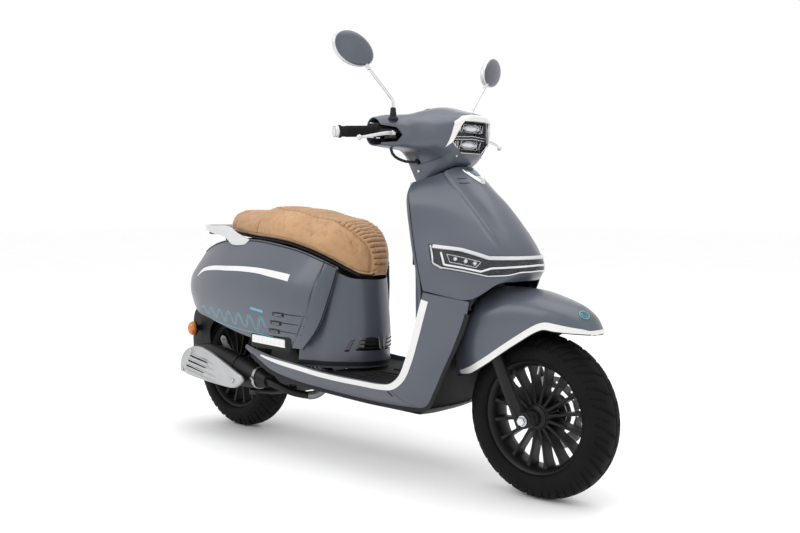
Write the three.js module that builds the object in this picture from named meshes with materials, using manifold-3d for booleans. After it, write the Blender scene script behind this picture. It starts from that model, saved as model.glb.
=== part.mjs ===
// A moped scooter: step-through body on an underbone frame, telescopic fork, swinging
// engine unit with the rear wheel, sprung seat lid, folding stands and footpegs.
// Millimetres. +X is forward, +Y is the rider's left and +Z is up. The origin is on the
// ground, at the middle of the overall length.
import * as THREE from "three";
import { mergeVertices } from "three/addons/utils/BufferGeometryUtils.js";
import Module from "manifold-3d";

const wasm = await Module();
wasm.setup();

// ---- driving dimensions -------------------------------------------------------------
const WHEELBASE = 1354;
const FRONT_AXLE_X = 680.5;
const REAR_AXLE_X = FRONT_AXLE_X - WHEELBASE;
const TYRE_RADIUS = 236.5;
const TYRE_HALF_WIDTH = 60;
const TYRE_SEGMENTS = 32;
const BEAD_RADIUS = 165;
const AXLE_RADIUS = 8;
const GAP = 0.4;
const WALL = 3;

const RAKE = 26.5 * THREE.MathUtils.DEG2RAD;
const HEAD = { x: 294, z: 940 };
const AXLE_DOWN = 802;
const AXLE_AHEAD = 32.2;
const LEG_AHEAD = 14;
const LEG_SPREAD = 82;
const STANCHION_RADIUS = 14.5;
const LEG_RADIUS = 19;
const STEM_RADIUS = 16;
const STEM_TOP = 84;

const SWING_PIVOT = { x: -232, z: 232 };
const CRANKCASE = { x: -338, z: 285, radius: 78 };
const CYLINDER = { z: 300, radius: 48, front: -150 };
const SHOCK_TOP = { x: -606, y: 120, z: 588 };
const SHOCK_FOOT = { x: -640, y: 120, z: 350 };
const STAND_PIVOT = { x: -345, z: 185 };
const SIDE_STAND_PIVOT = { x: -120, y: 152, z: 236 };
const BAR_RADIUS = 11;
const GRIP_START = 233;
const GRIP_END = 341;

const model = new THREE.Group();
const steering = new THREE.Group();
steering.position.set(HEAD.x, 0, HEAD.z);
steering.rotation.y = -RAKE;
model.add(steering);

// ---- materials ------------------------------------------------------------------------
const FINISHES = {
  paint: { color: 0x6a7079, roughness: 0.35, metalness: 0.2 },
  cream: { color: 0xdfe0dc, roughness: 0.4, metalness: 0.0 },
  black_plastic: { color: 0x1c1d1f, roughness: 0.6, metalness: 0.0 },
  black_metal: { color: 0x202123, roughness: 0.45, metalness: 0.6 },
  rubber: { color: 0x161616, roughness: 0.85, metalness: 0.0 },
  tyre: { color: 0x1a1a1b, roughness: 0.9, metalness: 0.0 },
  steel: { color: 0x9a9c9f, roughness: 0.35, metalness: 0.9 },
  chrome: { color: 0xd8dadc, roughness: 0.1, metalness: 1.0 },
  cast: { color: 0x74777a, roughness: 0.5, metalness: 0.8 },
  leather: { color: 0xb17f4f, roughness: 0.6, metalness: 0.0 },
  lens: { color: 0xc9ced2, roughness: 0.1, metalness: 0.0 },
  amber: { color: 0xd8721a, roughness: 0.2, metalness: 0.0 },
  red: { color: 0xa01818, roughness: 0.2, metalness: 0.0 },
};

function add(name, geometry, finish, parent = model) {
  const mesh = new THREE.Mesh(geometry, new THREE.MeshStandardMaterial(FINISHES[finish]));
  mesh.name = name;
  parent.add(mesh);
  return mesh;
}

// ---- solids from geometries -------------------------------------------------------------
function toSolid(geometry) {
  const bare = geometry.clone();
  bare.deleteAttribute("normal");
  bare.deleteAttribute("uv");
  const merged = mergeVertices(bare, 1e-3);
  const mesh = new wasm.Mesh({
    numProp: 3,
    vertProperties: new Float32Array(merged.attributes.position.array),
    triVerts: new Uint32Array(merged.index.array),
  });
  return new wasm.Manifold(mesh);
}

function toGeometry(solid) {
  const mesh = solid.getMesh();
  const geometry = new THREE.BufferGeometry();
  geometry.setAttribute("position", new THREE.BufferAttribute(mesh.vertProperties, 3));
  geometry.setIndex(new THREE.BufferAttribute(mesh.triVerts, 1));
  return geometry;
}

function join(...geometries) {
  return toGeometry(geometries.map(toSolid).reduce((a, b) => a.add(b)));
}

function cut(body, ...tools) {
  return toGeometry(tools.map(toSolid).reduce((a, b) => a.subtract(b), toSolid(body)));
}

function common(a, b) {
  return toGeometry(toSolid(a).intersect(toSolid(b)));
}

// Mirrors a geometry to the other side of the scooter.
function mirrored(geometry) {
  const copy = geometry.index ? geometry.clone() : mergeVertices(geometry.clone());
  copy.scale(1, -1, 1);
  const index = copy.index.array;
  for (let i = 0; i < index.length; i += 3) {
    [index[i], index[i + 1]] = [index[i + 1], index[i]];
  }
  return copy;
}

// Turns the faces of an indexed geometry round where they enclose a negative volume.
function facingOut(geometry) {
  const place = geometry.attributes.position;
  const index = geometry.index.array;
  const corner = [0, 1, 2].map(() => new THREE.Vector3());
  let volume = 0;
  for (let i = 0; i < index.length; i += 3) {
    corner.forEach((p, k) => p.fromBufferAttribute(place, index[i + k]));
    volume += corner[0].dot(corner[1].cross(corner[2]));
  }
  if (volume < 0) {
    for (let i = 0; i < index.length; i += 3) {
      [index[i], index[i + 1]] = [index[i + 1], index[i]];
    }
  }
  return geometry;
}

// Builds a closed geometry from vertices and triangular faces.
function closedGeometry(vertices, faces) {
  const geometry = new THREE.BufferGeometry().setFromPoints(vertices);
  geometry.setIndex(faces.flat());
  return facingOut(geometry);
}

// ---- panels and lofts -----------------------------------------------------------------
const point = ([x, y, z]) => new THREE.Vector3(x, y, z);

// Resamples each row of control points, so that it has `across` steps.
function fineRows(rows, across) {
  return rows.map((row) => {
    const curve = new THREE.CatmullRomCurve3(row.map(point), false, "centripetal");
    return curve.getPoints(across);
  });
}

// Mirrors a half row, given from its outer edge to the middle, into one across the body.
function fullRow(half) {
  const left = half.slice(0, -1).reverse();
  return [...half.map(([x, y, z]) => [x, -y, z]), ...left];
}

function surfaceNormals(grid) {
  const last = [grid.length - 1, grid[0].length - 1];
  return grid.map((row, i) =>
    row.map((_, j) => {
      const du = grid[Math.min(i + 1, last[0])][j].clone().sub(grid[Math.max(i - 1, 0)][j]);
      const dv = grid[i][Math.min(j + 1, last[1])].clone().sub(grid[i][Math.max(j - 1, 0)]);
      return du.cross(dv).normalize();
    })
  );
}

// A curved panel of even thickness. The control rows lie on its outer face, and `inside` is
// a point behind it. `lift` moves the whole panel outwards.
function panel(rows, across, inside, thickness = WALL, lift = 0) {
  const grid = fineRows(rows, across);
  const normals = surfaceNormals(grid);
  const mid = [Math.floor(grid.length / 2), Math.floor(grid[0].length / 2)];
  const outward = grid[mid[0]][mid[1]].clone().sub(point(inside));
  const sign = Math.sign(outward.dot(normals[mid[0]][mid[1]]));
  const count = grid.length * grid[0].length;
  const wide = grid[0].length;
  const outer = grid.flatMap((row, i) =>
    row.map((p, j) => p.clone().addScaledVector(normals[i][j], sign * lift))
  );
  const inner = grid.flatMap((row, i) =>
    row.map((p, j) => p.clone().addScaledVector(normals[i][j], sign * (lift - thickness)))
  );
  const faces = [];
  const quad = (a, b, c, d) => faces.push([a, b, c], [a, c, d]);
  for (let i = 0; i < grid.length - 1; i++) {
    for (let j = 0; j < wide - 1; j++) {
      const a = i * wide + j;
      quad(a, a + 1, a + wide + 1, a + wide);
      quad(count + a, count + a + wide, count + a + wide + 1, count + a + 1);
    }
  }
  const rim = [];
  for (let j = 0; j < wide - 1; j++) rim.push(j);
  for (let i = 0; i < grid.length - 1; i++) rim.push(i * wide + wide - 1);
  for (let j = wide - 1; j > 0; j--) rim.push((grid.length - 1) * wide + j);
  for (let i = grid.length - 1; i > 0; i--) rim.push(i * wide);
  rim.forEach((a, k) => {
    const b = rim[(k + 1) % rim.length];
    quad(b, a, count + a, count + b);
  });
  return closedGeometry([...outer, ...inner], faces);
}

// A closed solid through a list of closed sections with equal numbers of points.
function loft(sections) {
  const size = sections[0].length;
  const vertices = sections.flat();
  const faces = [];
  for (let i = 0; i < sections.length - 1; i++) {
    for (let j = 0; j < size; j++) {
      const a = i * size + j;
      const b = i * size + ((j + 1) % size);
      faces.push([a, b, b + size], [a, b + size, a + size]);
    }
  }
  for (const [base, turn] of [[0, 1], [(sections.length - 1) * size, -1]]) {
    const section = vertices.slice(base, base + size);
    const middle = section.reduce((sum, p) => sum.add(p), new THREE.Vector3()).divideScalar(size);
    const hub = vertices.push(middle) - 1;
    for (let j = 0; j < size; j++) {
      const [a, b] = [base + j, base + ((j + 1) % size)];
      faces.push(turn > 0 ? [hub, b, a] : [hub, a, b]);
    }
  }
  return closedGeometry(vertices, faces);
}

// ---- simple shapes --------------------------------------------------------------------
function box(x0, x1, y0, y1, z0, z1) {
  const geometry = new THREE.BoxGeometry(x1 - x0, y1 - y0, z1 - z0);
  return geometry.translate((x0 + x1) / 2, (y0 + y1) / 2, (z0 + z1) / 2);
}

function ball(x, y, z, radius, segments = 10) {
  return new THREE.SphereGeometry(radius, segments, segments / 2).translate(x, y, z);
}

// A round bar between two points.
function rod(from, to, radius, segments = 14) {
  const [a, b] = [point(from), point(to)];
  const along = b.clone().sub(a);
  const geometry = new THREE.CylinderGeometry(radius, radius, along.length(), segments);
  const turn = new THREE.Quaternion().setFromUnitVectors(
    new THREE.Vector3(0, 1, 0),
    along.clone().normalize()
  );
  geometry.applyQuaternion(turn);
  const middle = a.add(b).multiplyScalar(0.5);
  return geometry.translate(middle.x, middle.y, middle.z);
}

function circle(radius, sides) {
  const corners = [];
  for (let i = 0; i < sides; i++) {
    const angle = (i / sides) * 2 * Math.PI;
    corners.push(new THREE.Vector2(radius * Math.cos(angle), radius * Math.sin(angle)));
  }
  return new THREE.Shape(corners);
}

function tube(points, radius, steps, sides = 8) {
  const extrudePath = new THREE.CatmullRomCurve3(points.map(point), false, "centripetal");
  return new THREE.ExtrudeGeometry(circle(radius, sides), { steps, extrudePath });
}

// A ring or wheel turned about the Y axis from a closed profile of [radius, y] corners.
function turned(profile, segments, phase = 0) {
  const corners = [...profile, profile[0]].map(([r, y]) => new THREE.Vector2(r, y));
  return facingOut(new THREE.LatheGeometry(corners, segments, phase));
}

// A plate whose outline is drawn in the XZ plane, between two Y values.
function sidePlate(outline, y0, y1, holes = []) {
  const shape = new THREE.Shape(outline.map(([x, z]) => new THREE.Vector2(x, z)));
  for (const hole of holes) {
    shape.holes.push(new THREE.Path(hole.map(([x, z]) => new THREE.Vector2(x, z))));
  }
  const geometry = new THREE.ExtrudeGeometry(shape, { depth: y1 - y0, bevelEnabled: false });
  return geometry.rotateX(Math.PI / 2).translate(0, y1, 0);
}

// Completes an outline in the XY plane whose left half is given from front to back.
function mirrorOutline(half) {
  return [...half, ...half.map(([x, y]) => [x, -y]).reverse()];
}

// A plate whose outline is drawn in the XY plane, between two Z values.
function flatPlate(outline, z0, z1) {
  const shape = new THREE.Shape(outline.map(([x, y]) => new THREE.Vector2(x, y)));
  return new THREE.ExtrudeGeometry(shape, { depth: z1 - z0, bevelEnabled: false }).translate(0, 0, z0);
}

// A prism whose outline is drawn in the YZ plane, between two X values.
function frontPrism(outline, x0, x1) {
  const shape = new THREE.Shape(outline.map(([y, z]) => new THREE.Vector2(y, z)));
  const geometry = new THREE.ExtrudeGeometry(shape, { depth: x1 - x0, bevelEnabled: false });
  const turn = new THREE.Matrix4().set(0, 0, 1, x0, 1, 0, 0, 0, 0, 1, 0, 0, 0, 0, 0, 1);
  return geometry.applyMatrix4(turn);
}

function arcPoints(cx, cz, radius, from, to, steps) {
  const points = [];
  for (let i = 0; i <= steps; i++) {
    const angle = THREE.MathUtils.degToRad(from + ((to - from) * i) / steps);
    points.push([cx + radius * Math.cos(angle), cz + radius * Math.sin(angle)]);
  }
  return points;
}

// ---- wheels -----------------------------------------------------------------------------
function tyreGeometry() {
  const w = TYRE_HALF_WIDTH;
  const r = TYRE_RADIUS / Math.cos(Math.PI / TYRE_SEGMENTS);
  const half = [[r, 18], [r - 14, w - 12], [r - 38, w], [BEAD_RADIUS, w - 13]];
  const lining = [[BEAD_RADIUS, w - 20], [r - 40, w - 10], [r - 14, 24]];
  const left = [...half, ...lining];
  const right = left.map(([radius, y]) => [radius, -y]).reverse();
  return turned([...left, ...right], TYRE_SEGMENTS, Math.PI / TYRE_SEGMENTS);
}

const RIM_SPOKES = 16;

function rimGeometry(hubLeft, hubRight) {
  const edge = BEAD_RADIUS - GAP;
  const barrel = turned(
    [[edge, 47], [edge, 39], [150, 24], [150, -24], [edge, -39], [edge, -47], [144, -26], [144, 26]],
    TYRE_SEGMENTS,
    Math.PI / TYRE_SEGMENTS
  );
  const bore = AXLE_RADIUS + 2 * GAP;
  const hub = turned(
    [[bore, -hubRight], [20, -hubRight], [34, -38], [34, 34], [20, hubLeft], [bore, hubLeft]],
    12
  );
  const spokes = [];
  for (let i = 0; i < RIM_SPOKES; i++) {
    const spoke = new THREE.BoxGeometry(116, 30, 9).translate(87, 0, 0);
    spokes.push(spoke.rotateY((i / RIM_SPOKES) * 2 * Math.PI));
  }
  return join(barrel, hub, ...spokes);
}

function addWheels() {
  const front = new THREE.Group();
  front.position.set(FRONT_AXLE_X, 0, TYRE_RADIUS);
  model.add(front);
  add("front_tyre", tyreGeometry(), "tyre", front);
  add("front_rim", rimGeometry(55, 62), "black_metal", front);
  const disc = turned([[9, 55.5], [15, 55.5], [15, 57], [108, 57], [108, 61], [9, 61]], 32);
  add("front_disc", disc, "steel", front);
  const rear = new THREE.Group();
  rear.position.set(REAR_AXLE_X, 0, TYRE_RADIUS);
  model.add(rear);
  add("rear_tyre", tyreGeometry(), "tyre", rear);
  add("rear_rim", rimGeometry(66, 50), "black_metal", rear);
}

// ---- fork, in the steering frame: +Z runs up the steering axis ---------------------------
function addFork() {
  const stem = rod([0, 0, STEM_TOP], [0, 0, -475], STEM_RADIUS, 16);
  const yokeTop = -466;
  const yokeBottom = -490;
  const bridge = flatPlate(
    [[-20, -60], [-2, -95], [30, -95], [34, -60], [34, 60], [30, 95], [-2, 95], [-20, 60]],
    yokeBottom,
    yokeTop
  );
  const stanchions = [-1, 1].map((side) => {
    const y = side * LEG_SPREAD;
    return rod([LEG_AHEAD, y, yokeTop], [LEG_AHEAD, y, -700], STANCHION_RADIUS, 16);
  });
  add("fork_yoke", join(stem, bridge, ...stanchions), "black_metal", steering);

  for (const [name, side] of [["fork_leg_right", -1], ["fork_leg_left", 1]]) {
    const y = side * LEG_SPREAD;
    const leg = rod([LEG_AHEAD, y, -560], [LEG_AHEAD, y, -812], LEG_RADIUS, 16);
    const collar = rod([LEG_AHEAD, y, -556], [LEG_AHEAD, y, -580], LEG_RADIUS + 2.5, 16);
    const lug = rod([AXLE_AHEAD, y - 16, -AXLE_DOWN], [AXLE_AHEAD, y + 16, -AXLE_DOWN], 23, 16);
    const foot = box(LEG_AHEAD - 14, AXLE_AHEAD, y - 13, y + 13, -AXLE_DOWN - 20, -AXLE_DOWN + 34);
    const bore = rod([LEG_AHEAD, y, -550], [LEG_AHEAD, y, -770], STANCHION_RADIUS + GAP, 16);
    const axleHole = rod(
      [AXLE_AHEAD, y - 20, -AXLE_DOWN],
      [AXLE_AHEAD, y + 20, -AXLE_DOWN],
      AXLE_RADIUS + GAP
    );
    add(name, cut(join(leg, collar, lug, foot), bore, axleHole), "black_metal", steering);
  }
  const shaft = rod([AXLE_AHEAD, -105, -AXLE_DOWN], [AXLE_AHEAD, 105, -AXLE_DOWN], AXLE_RADIUS);
  const heads = [-1, 1].map((side) =>
    rod([AXLE_AHEAD, side * 102, -AXLE_DOWN], [AXLE_AHEAD, side * 109, -AXLE_DOWN], 12, 6)
  );
  add("front_axle", join(shaft, ...heads), "steel", steering);

  const body = box(-64, -10, 43, 78, -770, -698);
  const tab = box(-12, LEG_AHEAD - LEG_RADIUS - GAP, 66, 78, -752, -716);
  const slot = rod([AXLE_AHEAD, 54.5, -AXLE_DOWN], [AXLE_AHEAD, 63, -AXLE_DOWN], 113, 32);
  add("front_caliper", cut(join(body, tab), slot), "cast", steering);
}

const FENDER_ROWS = [
  [[862, 24, 480], [868, 12, 483], [871, 0, 485]],
  [[842, 50, 480], [853, 33, 495], [860, 0, 500]],
  [[804, 71, 481], [829, 52, 516], [842, 0, 532]],
  [[762, 88, 483], [785, 68, 537], [800, 0, 560]],
  [[722, 98, 480], [736, 79, 549], [751, 0, 577]],
  [[668, 103, 462], [676, 88, 560], [685, 0, 595]],
  [[610, 106, 430], [614, 94, 560], [614, 0, 601]],
  [[565, 108, 400], [560, 105, 544], [554, 0, 601]],
  [[528, 108, 373], [515, 114, 526], [500, 0, 592]],
  [[500, 99, 356], [484, 111, 494], [462, 0, 564]],
  [[470, 84, 342], [442, 88, 450], [428, 0, 522]],
  [[438, 64, 332], [412, 66, 400], [402, 0, 455]],
  [[408, 44, 326], [395, 42, 360], [390, 0, 385]],
  [[396, 34, 325], [389, 20, 330], [388, 0, 333]],
];

function addFender() {
  const shell = panel(FENDER_ROWS.map(fullRow), 8, [650, 0, 400]);
  const stemHole = rod([394, 0, 739.5], [520, 0, 487], STEM_RADIUS + 6, 18);
  add("front_fender", cut(shell, stemHole), "paint");
}

// ---- front body -------------------------------------------------------------------------
// Half rows from the shield's outer edge, over the shoulder crease, to the nose.
const APRON_ROWS = [
  [[303, 138, 905], [330, 108, 917], [370, 66, 937], [392, 42, 948], [401, 0, 951]],
  [[312, 155, 893], [347, 120, 902], [400, 72, 908], [434, 46, 912], [445, 0, 914]],
  [[326, 177, 872], [370, 134, 876], [434, 74, 878], [468, 47, 880], [482, 0, 881]],
  [[350, 200, 835], [404, 150, 836], [475, 78, 838], [514, 50, 838], [526, 0, 838]],
  [[367, 210, 777], [446, 156, 777], [538, 84, 777], [572, 48, 777], [584, 0, 777]],
  [[387, 217, 700], [500, 166, 701], [602, 90, 702], [634, 44, 701], [648, 0, 700]],
  [[397, 218, 660], [512, 172, 660], [612, 93, 660], [647, 48, 660], [658, 0, 660]],
  [[405, 217, 625], [520, 170, 622], [606, 97, 632], [640, 50, 636], [650, 0, 638]],
  [[413, 215, 592], [535, 158, 570], [600, 101, 616], [622, 55, 619], [633, 0, 620]],
];

// Half rows of the rider's side of the shield, from its edge to the middle.
const SHIELD_ROWS = [
  [[298, 133, 902], [272, 70, 887], [256, 0, 880]],
  [[316, 172, 866], [288, 90, 862], [276, 0, 860]],
  [[338, 197, 828], [298, 100, 826], [286, 0, 825]],
  [[356, 207, 770], [306, 110, 768], [293, 0, 767]],
  [[375, 213, 695], [310, 120, 693], [297, 0, 692]],
  [[392, 212, 620], [312, 125, 618], [300, 0, 617]],
  [[392, 209, 545], [316, 130, 543], [303, 0, 542]],
  [[366, 207, 450], [322, 130, 448], [308, 0, 447]],
  [[340, 204, 380], [318, 120, 378], [306, 0, 377]],
  [[314, 200, 322], [304, 110, 316], [299, 0, 314]],
];

const GLOVEBOX = { y0: -152, y1: -44, z0: 660, z1: 752 };

function gloveboxDoor(clearance) {
  const { y0, y1, z0, z1 } = GLOVEBOX;
  return box(240, 345, y0 + clearance, y1 - clearance, z0 + clearance, z1 - clearance);
}

function addFrontBody() {
  add("apron_front", panel(APRON_ROWS.map(fullRow), 16, [450, 0, 750]), "paint");
  const shield = panel(SHIELD_ROWS.map(fullRow), 8, [450, 0, 650]);
  const { y0, y1, z0, z1 } = GLOVEBOX;
  const tray = box(312, 358, y0 - 4, y1 + 4, z0 - 4, z1 + 4);
  const lipped = join(shield, box(303, 330, y0 - 4, y1 + 4, z0 - 4, z1 + 4), tray);
  const trimmed = cut(lipped, shieldFrontSpace());
  add("leg_shield", cut(trimmed, box(200, 354, y0, y1, z0, z1)), "paint");
  add("glovebox_lid", common(shield, gloveboxDoor(1.2)), "paint");
  const lampPlate = panel(APRON_ROWS.slice(4).map(fullRow), 16, [450, 0, 750], 7, 7.4);
  const lampHalf = [[0, 664], [60, 650], [112, 636], [190, 664], [204, 724], [110, 692], [60, 686], [0, 692]];
  const lampOutline = [...lampHalf, ...lampHalf.slice(1, -1).reverse().map(([y, z]) => [-y, z])];
  add("apron_light", common(lampPlate, frontPrism(lampOutline, 380, 720)), "lens");
}

// The space on the rider's side of the shield, which the glovebox walls stay out of.
function shieldFrontSpace() {
  return panel(SHIELD_ROWS.map(fullRow), 8, [450, 0, 650], 60, 60 + GAP);
}

const SKIRT_ROWS = [
  [[413, 215, 588], [475, 192, 577], [536, 158, 565]],
  [[393, 216, 525], [455, 195, 520], [527, 161, 515]],
  [[366, 215, 446], [430, 195, 440], [500, 165, 448]],
  [[342, 213, 385], [390, 193, 360], [450, 160, 361]],
  [[312, 210, 333], [350, 190, 305], [408, 156, 284]],
  [[275, 210, 306], [310, 192, 270], [370, 150, 237]],
  [[235, 210, 301], [250, 195, 265], [300, 157, 229]],
  [[150, 207, 301], [155, 194, 266], [175, 164, 229]],
  [[61, 205, 302], [58, 195, 270], [50, 170, 235]],
  [[-40, 202, 306], [-44, 196, 276], [-50, 177, 242]],
  [[-132, 200, 314], [-136, 198, 284], [-145, 185, 250]],
  [[-270, 195, 326], [-273, 198, 300], [-280, 191, 272]],
  [[-350, 191, 338], [-352, 194, 321], [-356, 191, 303]],
  [[-424, 188, 354], [-427, 190, 348], [-431, 189, 341]],
];

const BELLY_ROWS = [
  [[376, 132, 232], [374, 70, 228], [374, 0, 226]],
  [[330, 134, 208], [330, 70, 203], [330, 0, 202]],
  [[160, 138, 212], [160, 70, 206], [160, 0, 205]],
  [[0, 142, 218], [0, 72, 212], [0, 0, 211]],
  [[-100, 136, 226], [-100, 72, 218], [-100, 0, 217]],
];

function addLowerBody() {
  const skirt = panel(SKIRT_ROWS, 4, [200, 0, 300]);
  add("side_skirt_left", skirt, "paint");
  add("side_skirt_right", mirrored(skirt), "paint");
  add("belly_tray", panel(BELLY_ROWS.map(fullRow), 8, [150, 0, 500]), "black_plastic");

  const half = [
    [284, 30], [290, 60], [286, 188], [235, 194], [60, 190], [-190, 182], [-190, 146], [-75, 142], [-58, 125],
  ];
  const deck = flatPlate(mirrorOutline(half), 286, 294);
  const ribs = [];
  for (let i = -5; i <= 5; i++) {
    if (Math.abs(i) > 0) {
      ribs.push(box(75, 280, i * 34 - 5, i * 34 + 5, 292, 298));
    }
  }
  add("floorboard", join(deck, ...ribs), "rubber");
}

// ---- rear body --------------------------------------------------------------------------
// Rows from the cowl's front edge to its rear edge, each from top to bottom.
const COWL_ROWS = [
  [[-31, 121, 636], [-48, 137, 554], [-77, 166, 440], [-122, 192, 366]],
  [[-76, 149, 660], [-95, 187, 560], [-128, 201, 450], [-180, 196, 367]],
  [[-179, 155, 689], [-192, 209, 580], [-214, 215, 460], [-260, 197, 371]],
  [[-300, 149, 707], [-310, 214, 590], [-322, 217, 470], [-345, 197, 377]],
  [[-405, 141, 717], [-415, 206, 600], [-427, 212, 480], [-440, 194, 388]],
  [[-510, 133, 718], [-520, 194, 604], [-532, 201, 490], [-540, 188, 405]],
  [[-606, 125, 713], [-620, 178, 606], [-632, 186, 505], [-650, 172, 424]],
  [[-700, 112, 695], [-720, 155, 600], [-730, 164, 515], [-740, 156, 437]],
  [[-775, 96, 666], [-808, 124, 590], [-815, 134, 520], [-800, 130, 450]],
  [[-832, 75, 629], [-870, 94, 575], [-876, 100, 520], [-852, 104, 468]],
];

// Half rows of the tail between the cowls, from its edge to the middle.
const TAIL_ROWS = [
  [[-606, 119, 708], [-606, 60, 716], [-606, 0, 718]],
  [[-700, 106, 690], [-702, 56, 701], [-704, 0, 704]],
  [[-773, 90, 661], [-782, 50, 673], [-785, 0, 676]],
  [[-829, 69, 623], [-846, 42, 636], [-852, 0, 640]],
  [[-867, 86, 572], [-888, 48, 578], [-896, 0, 580]],
  [[-873, 92, 520], [-894, 50, 520], [-902, 0, 520]],
  [[-862, 92, 478], [-884, 50, 474], [-892, 0, 473]],
];

const COLUMN_ROWS = [
  [[-112, 150, 305], [-72, 142, 305], [-38, 121, 305], [-6, 94, 305], [28, 58, 305], [48, 0, 305]],
  [[-102, 148, 400], [-70, 140, 400], [-36, 119, 400], [-2, 94, 400], [34, 58, 400], [56, 0, 400]],
  [[-92, 138, 500], [-66, 132, 500], [-36, 114, 500], [-6, 91, 500], [28, 56, 500], [48, 0, 500]],
  [[-82, 126, 594], [-60, 121, 594], [-36, 106, 594], [-10, 87, 594], [20, 54, 594], [40, 0, 594]],
];

const MUDGUARD_ROWS = [
  [[-764, 92, 300], [-800, 92, 286], [-840, 90, 272], [-893, 78, 262], [-916, 40, 258], [-921, 0, 257]],
  [[-764, 92, 370], [-800, 92, 360], [-840, 90, 352], [-895, 78, 350], [-918, 40, 349], [-923, 0, 349]],
  [[-716, 92, 430], [-764, 92, 428], [-836, 89, 426], [-884, 76, 425], [-903, 40, 424], [-908, 0, 424]],
  [[-700, 88, 492], [-750, 86, 488], [-808, 80, 478], [-843, 67, 469], [-860, 36, 464], [-865, 0, 463]],
  [[-700, 62, 545], [-738, 60, 538], [-780, 54, 526], [-806, 44, 514], [-818, 24, 508], [-821, 0, 506]],
];

function footpegRecess() {
  return box(-384, -178, 150, 230, 352, 403);
}

function addRearBody() {
  const cowl = cut(panel(COWL_ROWS, 6, [-400, 0, 550]), footpegRecess());
  add("side_cowl_left", cowl, "paint");
  add("side_cowl_right", mirrored(cowl), "paint");
  const lensWindow = box(-960, -860, -62, 62, 530, 590);
  add("tail_cowl", cut(panel(TAIL_ROWS.map(fullRow), 8, [-700, 0, 550]), lensWindow), "paint");
  add("tail_light", tailLens(), "red");
  add("seat_column", panel(COLUMN_ROWS.map(fullRow), 10, [-60, 0, 450]), "paint");
  add("rear_mudguard", mudguard(), "black_plastic");
  for (const [name, side] of [["rear_indicator_right", -1], ["rear_indicator_left", 1]]) {
    const lens = new THREE.SphereGeometry(1, 12, 8).scale(22, 20, 30).translate(-831, side * 122, 368);
    const stalk = rod([-831, side * 92.5, 368], [-831, side * 112, 368], 10, 10);
    add(name, join(lens, stalk), "amber");
  }
  add("grab_rail", grabRail(), "cream");
  add("storage_bucket", bucket(), "black_plastic");
}

function tailLens() {
  const section = (x, y, z0, z1) => [
    [x, -y, z0], [x, 0, z0 - 1], [x, y, z0], [x, y, z1], [x, 0, z1 + 1], [x, -y, z1],
  ].map(point);
  return loft([section(-872, 58, 534, 586), section(-900, 58, 534, 586), section(-910, 50, 540, 580)]);
}

function mudguard() {
  const shell = panel(MUDGUARD_ROWS.map(fullRow), 10, [-680, 0, 350]);
  const crown = [
    [-702, 542], [-737, 536], [-779, 524], [-802, 511], [-802, 514], [-779, 528], [-737, 540], [-702, 546],
  ];
  return join(shell, sidePlate(crown, -61, 61));
}

function grabRail() {
  const side = [
    [-512, 135, 732], [-560, 130, 735], [-600, 126, 745], [-650, 114, 760], [-740, 106, 760], [-805, 92, 752],
    [-828, 50, 750],
  ];
  const path = [...side, [-833, 0, 750], ...side.map(([x, y, z]) => [x, -y, z]).reverse()];
  const feet = [-1, 1].map((s) => rod([-556, s * 113, 694.2], [-556, s * 122, 731], 6, 8));
  return join(tube(path, 8.5, 22), ...feet);
}

function bucket() {
  const outline = [
    [-50, 485], [-50, 630], [-104, 656], [-150, 672], [-256, 692], [-430, 700], [-430, 530], [-380, 485],
  ];
  const hollow = [[-54, 489], [-54, 660], [-104, 690], [-430, 740], [-426, 700], [-426, 531], [-378, 489]];
  return cut(sidePlate(outline, -100, 100), sidePlate(hollow, -96, 96));
}

// ---- frame ------------------------------------------------------------------------------
function steeringPoint(down) {
  return [HEAD.x + down * Math.sin(RAKE), 0, HEAD.z - down * Math.cos(RAKE)];
}

// A point on the side stand's tilted pivot line, at a distance from the stand's middle.
function sideStandAxis(inward) {
  const { x, y, z } = SIDE_STAND_PIVOT;
  return [x + inward * 0.3, y - inward * 0.954, z];
}

function addFrame() {
  const downTube = [
    [388, 0, 790], [372, 0, 700], [352, 0, 600], [343, 0, 500], [335, 0, 400], [325, 0, 310], [298, 0, 262],
  ];
  const parts = [
    rod(steeringPoint(70), steeringPoint(230), 26, 16),
    tube(downTube, 18, 7),
    rod([298, -104, 262], [298, 104, 262], 15, 12),
    rod([-160, -126, 405], [-160, 126, 405], 10, 10),
    rod([-600, -108, 680], [-600, 108, 680], 10, 10),
    rod([SWING_PIVOT.x, -64, SWING_PIVOT.z], [SWING_PIVOT.x, 64, SWING_PIVOT.z], 8, 14),
    rod([SHOCK_TOP.x, 98, SHOCK_TOP.z], [SHOCK_TOP.x, 134, SHOCK_TOP.z], 5, 12),
    box(-618, -592, 96, 104, SHOCK_TOP.z - 12, 680),
    rod([-60, 100, 258], sideStandAxis(18), 8, 10),
    rod(sideStandAxis(20), sideStandAxis(10.5), 13, 12),
  ];
  for (const side of [-1, 1]) {
    const rail = [[300, 95, 262], [150, 100, 258], [-40, 100, 258], [-110, 112, 300], [-165, 131, 400],
      [-205, 134, 520], [-245, 134, 640], [-330, 132, 672], [-560, 118, 680], [-650, 96, 672]];
    const hanger = [[-50, 100, 258], [-150, 76, 243], [SWING_PIVOT.x, 58, SWING_PIVOT.z]];
    const peg = [[-165, 131, 398], [-180, 160, 384], [-186, 190, 380]];
    parts.push(tube(rail.map(([x, y, z]) => [x, side * y, z]), 13, 14));
    parts.push(tube(hanger.map(([x, y, z]) => [x, side * y, z]), 11, 4));
    parts.push(tube(peg.map(([x, y, z]) => [x, side * y, z]), 7, 3, 6));
  }
  const bore = rod(steeringPoint(40), steeringPoint(260), STEM_RADIUS + 1, 16);
  add("frame", cut(join(...parts), bore), "black_metal");
}

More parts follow.
